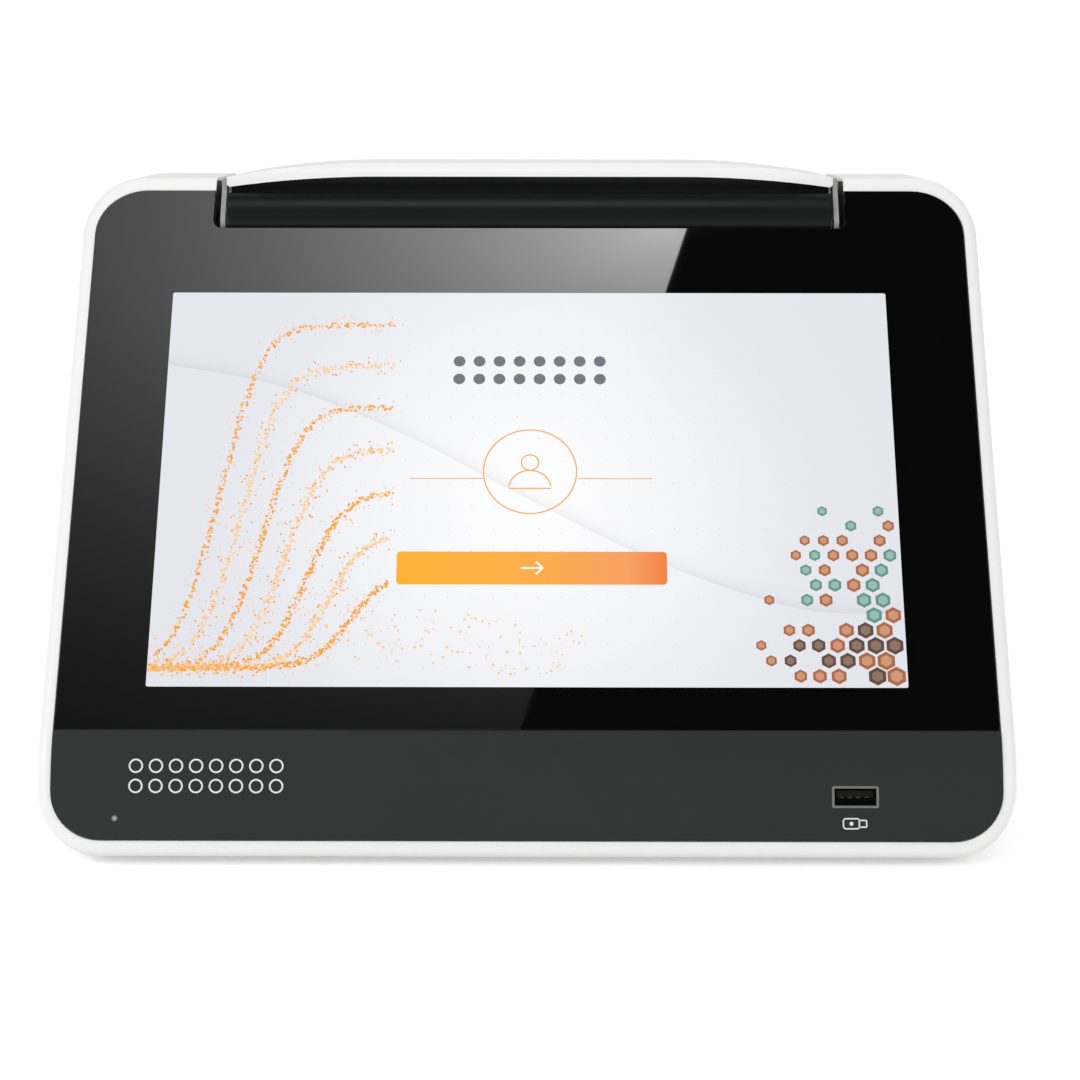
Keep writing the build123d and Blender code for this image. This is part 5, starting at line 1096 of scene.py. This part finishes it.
def makeLidEdge(name, outer, materialName, slot):
    # Each side wall's front edge is grey at its outer part, painted shade on the white shell, and black
    # inside that
    low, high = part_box("lid_shell")
    parting = high.x - lidEdge["shown"]

    def chosen(middle, normal):
        atFront = middle.y < low.y + lidEdge["run"] and normal.y < -0.5
        atSide = abs(middle.x) > high.x - lidEdge["depth"]
        return atFront and atSide and (abs(middle.x) > parting) == outer

    cuts = [((side * parting, 0, 0), (1, 0, 0)) for side in (-1, 1)]
    mesh = faceSkin(name, "lid_shell", chosen, lidEdge["lift"], cuts)
    addSkin(name, mesh, materialName, slot, "lid")


def makeSlotWalls():
    # The black skin on the walls is painted shade in the gap beside the lid; it ends a little below the
    # sloping top of the case, which stays white
    def atWall(point):
        return abs(abs(point.x) - slotWallShade["half"]) < slotWallShade["within"]

    points = [vertex.co for vertex in frame["nodes"]["main_housing"].data.vertices]
    corners = [point for point in points if atWall(point) and point.x > 0]
    ridge = max(corners, key=lambda corner: corner.z)
    rear = max(corners, key=lambda corner: corner.y + corner.z)
    slope = (rear - ridge).normalized()
    upwards = Vector((0, -slope.z, slope.y))
    top = ridge - upwards * slotWallShade["below"]

    def beside(middle, normal):
        inside = middle.z > slotWallShade["from"] and (middle - top).dot(upwards) < 0
        return atWall(middle) and inside and normal.x * middle.x < -0.9 * abs(middle.x)

    skin = faceSkin("slot_wall_painted_shade", "main_housing", beside, slotWallShade["lift"], [(top, upwards)])
    addSkin("slot_wall_painted_shade", skin, "blackTrim", "black_trim")


# Status lamp: a small dark lens with a painted glint in its middle, an emission that stands in for a
# highlight on the unlit lamp
statusLamp = {
    "centre": (-0.1228, 0.0064),
    "reach": 0.0011,
    # emission at the middle and at the rim of the lens: the painted glint, as the lamp is unlit
    "glow": (0.42, 0.02),
    # colour of the painted glint
    "light": (0.86, 0.93, 0.9, 1),
    "bending": 1.49,
    "lens": {"Grain": 900.0, "Color": (0.05, 0.054, 0.053, 1), "Drift": 0.3, "Smooth": 0.1, "Rough": 0.2},
}


def makeStatusLamp():
    plain = {"IOR": statusLamp["bending"], "Emission Color": statusLamp["light"]}
    tree, shader, place = startMaterial("lampLensGlint", plain)
    lens = placeGroup(tree, grainGroup, place, **statusLamp["lens"])
    # Painted glint: emission strongest at the lens's middle, fading out towards its rim
    distance = vectorNode(tree, "DISTANCE", place, frontPoint(*statusLamp["centre"]), result="Value")
    fade = rangeNode(
        tree, distance, (0.0, statusLamp["reach"]), statusLamp["glow"], interpolation_type="SMOOTHSTEP"
    )
    surface = {"Base Color": lens["Color"], "Roughness": lens["Roughness"], "Emission Strength": fade}
    feed(tree, shader.inputs, surface)
    finishNode("status_light", "lampLensGlint")


# Grey painted shade on the outer front edges of the lid's sides, black trim inside them
makeLidEdge("lid_side_edge_shade", True, "lidEdge", "grey_plastic")
makeLidEdge("lid_side_trims", False, "blackTrim", "black_trim")
makeSlotWalls()
makeStatusLamp()


# Contacts in the sockets
usbContacts = {
    "row": {"Count": 4, "Pitch": 0.0025, "Size": (0.0012, 0.0065, 0.00012)},
    "up": 0.01309,  # the face of the tongue, measured up the chin
    "sunk": 0.0074,
}
networkContacts = {
    "row": {"Count": 8, "Pitch": 0.00102, "Size": (0.00035, 0.0080, 0.0006)},
    "sunk": 0.0085,
    "height": 0.0541,
}


def middleAcross(node):
    return sum(corner.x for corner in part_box(node)) / 2


def placeContacts(name, row, middle, slope):
    # slope is how far the socket's floor tips down, in degrees
    angle = math.radians(slope)
    inward = Vector((0, math.cos(angle), -math.sin(angle)))
    upwards = Vector((0, math.sin(angle), math.cos(angle)))
    mesh = builtMesh(name, contactRowTree, row, "goldFlash")
    for vertex in mesh.vertices:
        vertex.co = middle + Vector((vertex.co.x, 0, 0)) + inward * vertex.co.y + upwards * vertex.co.z
    addPiece(name, mesh, "goldFlash")


def makeContacts():
    look = usbContacts
    middle = frontPoint(middleAcross("usb_tongue"), look["up"], -look["sunk"])
    placeContacts("usb_contacts", look["row"], middle, 90 - front["chinSlope"])
    look = networkContacts
    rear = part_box("network_socket")[1].y
    middle = Vector((middleAcross("network_socket"), rear - look["sunk"], look["height"]))
    placeContacts("network_contacts", look["row"], middle, 0)


# ON and OFF marks on the rocker, a bar and a ring
rocker = {
    "pivot": (-0.095, 0.1084, 0.088),
    "tilt": 10.0,
    "foot": 0.0016,  # face of the rocker at its pivot
    "end": (0.0031, 0.0081),
    "bar": (0.0006, 0.0032),
    "barCorner": 0.0001,
    "ring": 0.0015,
    "line": 0.0005,
}


def rockerGraphic(name, outlines, side):
    # side is 1 for the upper face and -1 for the lower one
    tilt = math.radians(rocker["tilt"])
    out = Vector((0, math.cos(tilt), math.sin(tilt)))
    up = Vector((0, -math.sin(tilt), math.cos(tilt)))
    start = out * rocker["foot"]
    end = out * rocker["end"][0] + up * rocker["end"][1] * side
    along = (end - start).normalized() * side
    normal = Vector((0, along.z, -along.y))
    middle = Vector(rocker["pivot"]) + (start + end) / 2 + normal * printLift
    mesh = outlineMesh(name, outlines, lambda x, y: middle + Vector((-x, 0, 0)) + along * y)
    addSkin(name, mesh, "printWhite", "white_shell", "power_rocker")


makeContacts()
rockerGraphic("rocker_on_mark", [roundedOutline((0, 0), *rocker["bar"], rocker["barCorner"], 3)], 1)
rockerGraphic("rocker_off_mark", stroke(discOutline((0, 0), rocker["ring"], 28), rocker["line"], True), -1)

# Column numbers beside the wells
wellNumbers = {"count": 8, "pitch": 0.009, "height": 0.0030, "lift": 0.00003, "halfDepth": 0.00003}


def numberMesh(number):
    data = bpy.data.curves.new("numberText", "FONT")
    data.body = str(number)
    data.size = wellNumbers["height"]
    data.extrude = wellNumbers["halfDepth"]
    data.align_x = data.align_y = "CENTER"
    return evaluatedMesh(linkedObject("numberHolder", data))


def makeWellNumbers():
    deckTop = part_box("well_deck")[1]
    rowY = (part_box("block_collar")[1].y + deckTop.y) / 2
    rowZ = deckTop.z + wellNumbers["lift"] + wellNumbers["halfDepth"]
    vertices, faces = [], []
    for column in range(wellNumbers["count"]):
        glyph = numberMesh(column + 1)
        step = column - (wellNumbers["count"] - 1) / 2
        place = Vector((middleAcross("sample_block") + step * wellNumbers["pitch"], rowY, rowZ))
        first = len(vertices)
        vertices += [vertex.co + place for vertex in glyph.vertices]
        faces += [tuple(first + corner for corner in face.vertices) for face in glyph.polygons]
    addPiece("well_numbers", newMesh("well_numbers", vertices, faces), "printWhite")


# Coil springs over the heated plate, in place of the plain sleeves of the frame
spring = {"reach": 0.0026, "wire": 0.00025, "turns": 3.5, "steps": 20, "sides": 8, "press": 0.0020}


def coil(across, along, low, high, vertices, faces):
    # Adds one spring to the lists
    wire, sides = spring["wire"], spring["sides"]
    radius = spring["reach"] - wire
    count = int(spring["turns"] * spring["steps"])
    first = len(vertices)
    for step in range(count + 1):
        turn = 2 * math.pi * step / spring["steps"]
        rise = low + wire + (high - low - 2 * wire) * step / count
        for side in range(sides):
            angle = 2 * math.pi * side / sides
            out = radius + wire * math.cos(angle)
            vertices.append(
                (across + out * math.cos(turn), along + out * math.sin(turn), rise + wire * math.sin(angle))
            )
    last = first + count * sides
    ends = [tuple(range(first, first + sides)), tuple(reversed(range(last, last + sides)))]
    faces += bandFaces(first, count, sides, True) + ends


def makeSprings():
    low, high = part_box("hot_lid_springs")
    reach = spring["reach"]
    vertices, faces = [], []
    for across in (low.x + reach, high.x - reach):
        for along in (low.y + reach, high.y - reach):
            coil(across, along, low.z, high.z, vertices, faces)
    mesh = newMesh("press_springs", vertices, faces)
    mesh.shade_smooth()
    piece = addPiece("press_springs", mesh, "sheetSteel", "lid")
    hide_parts("hot_lid_springs")
    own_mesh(piece)


makeWellNumbers()
makeSprings()
print("contacts, numbers and springs made")
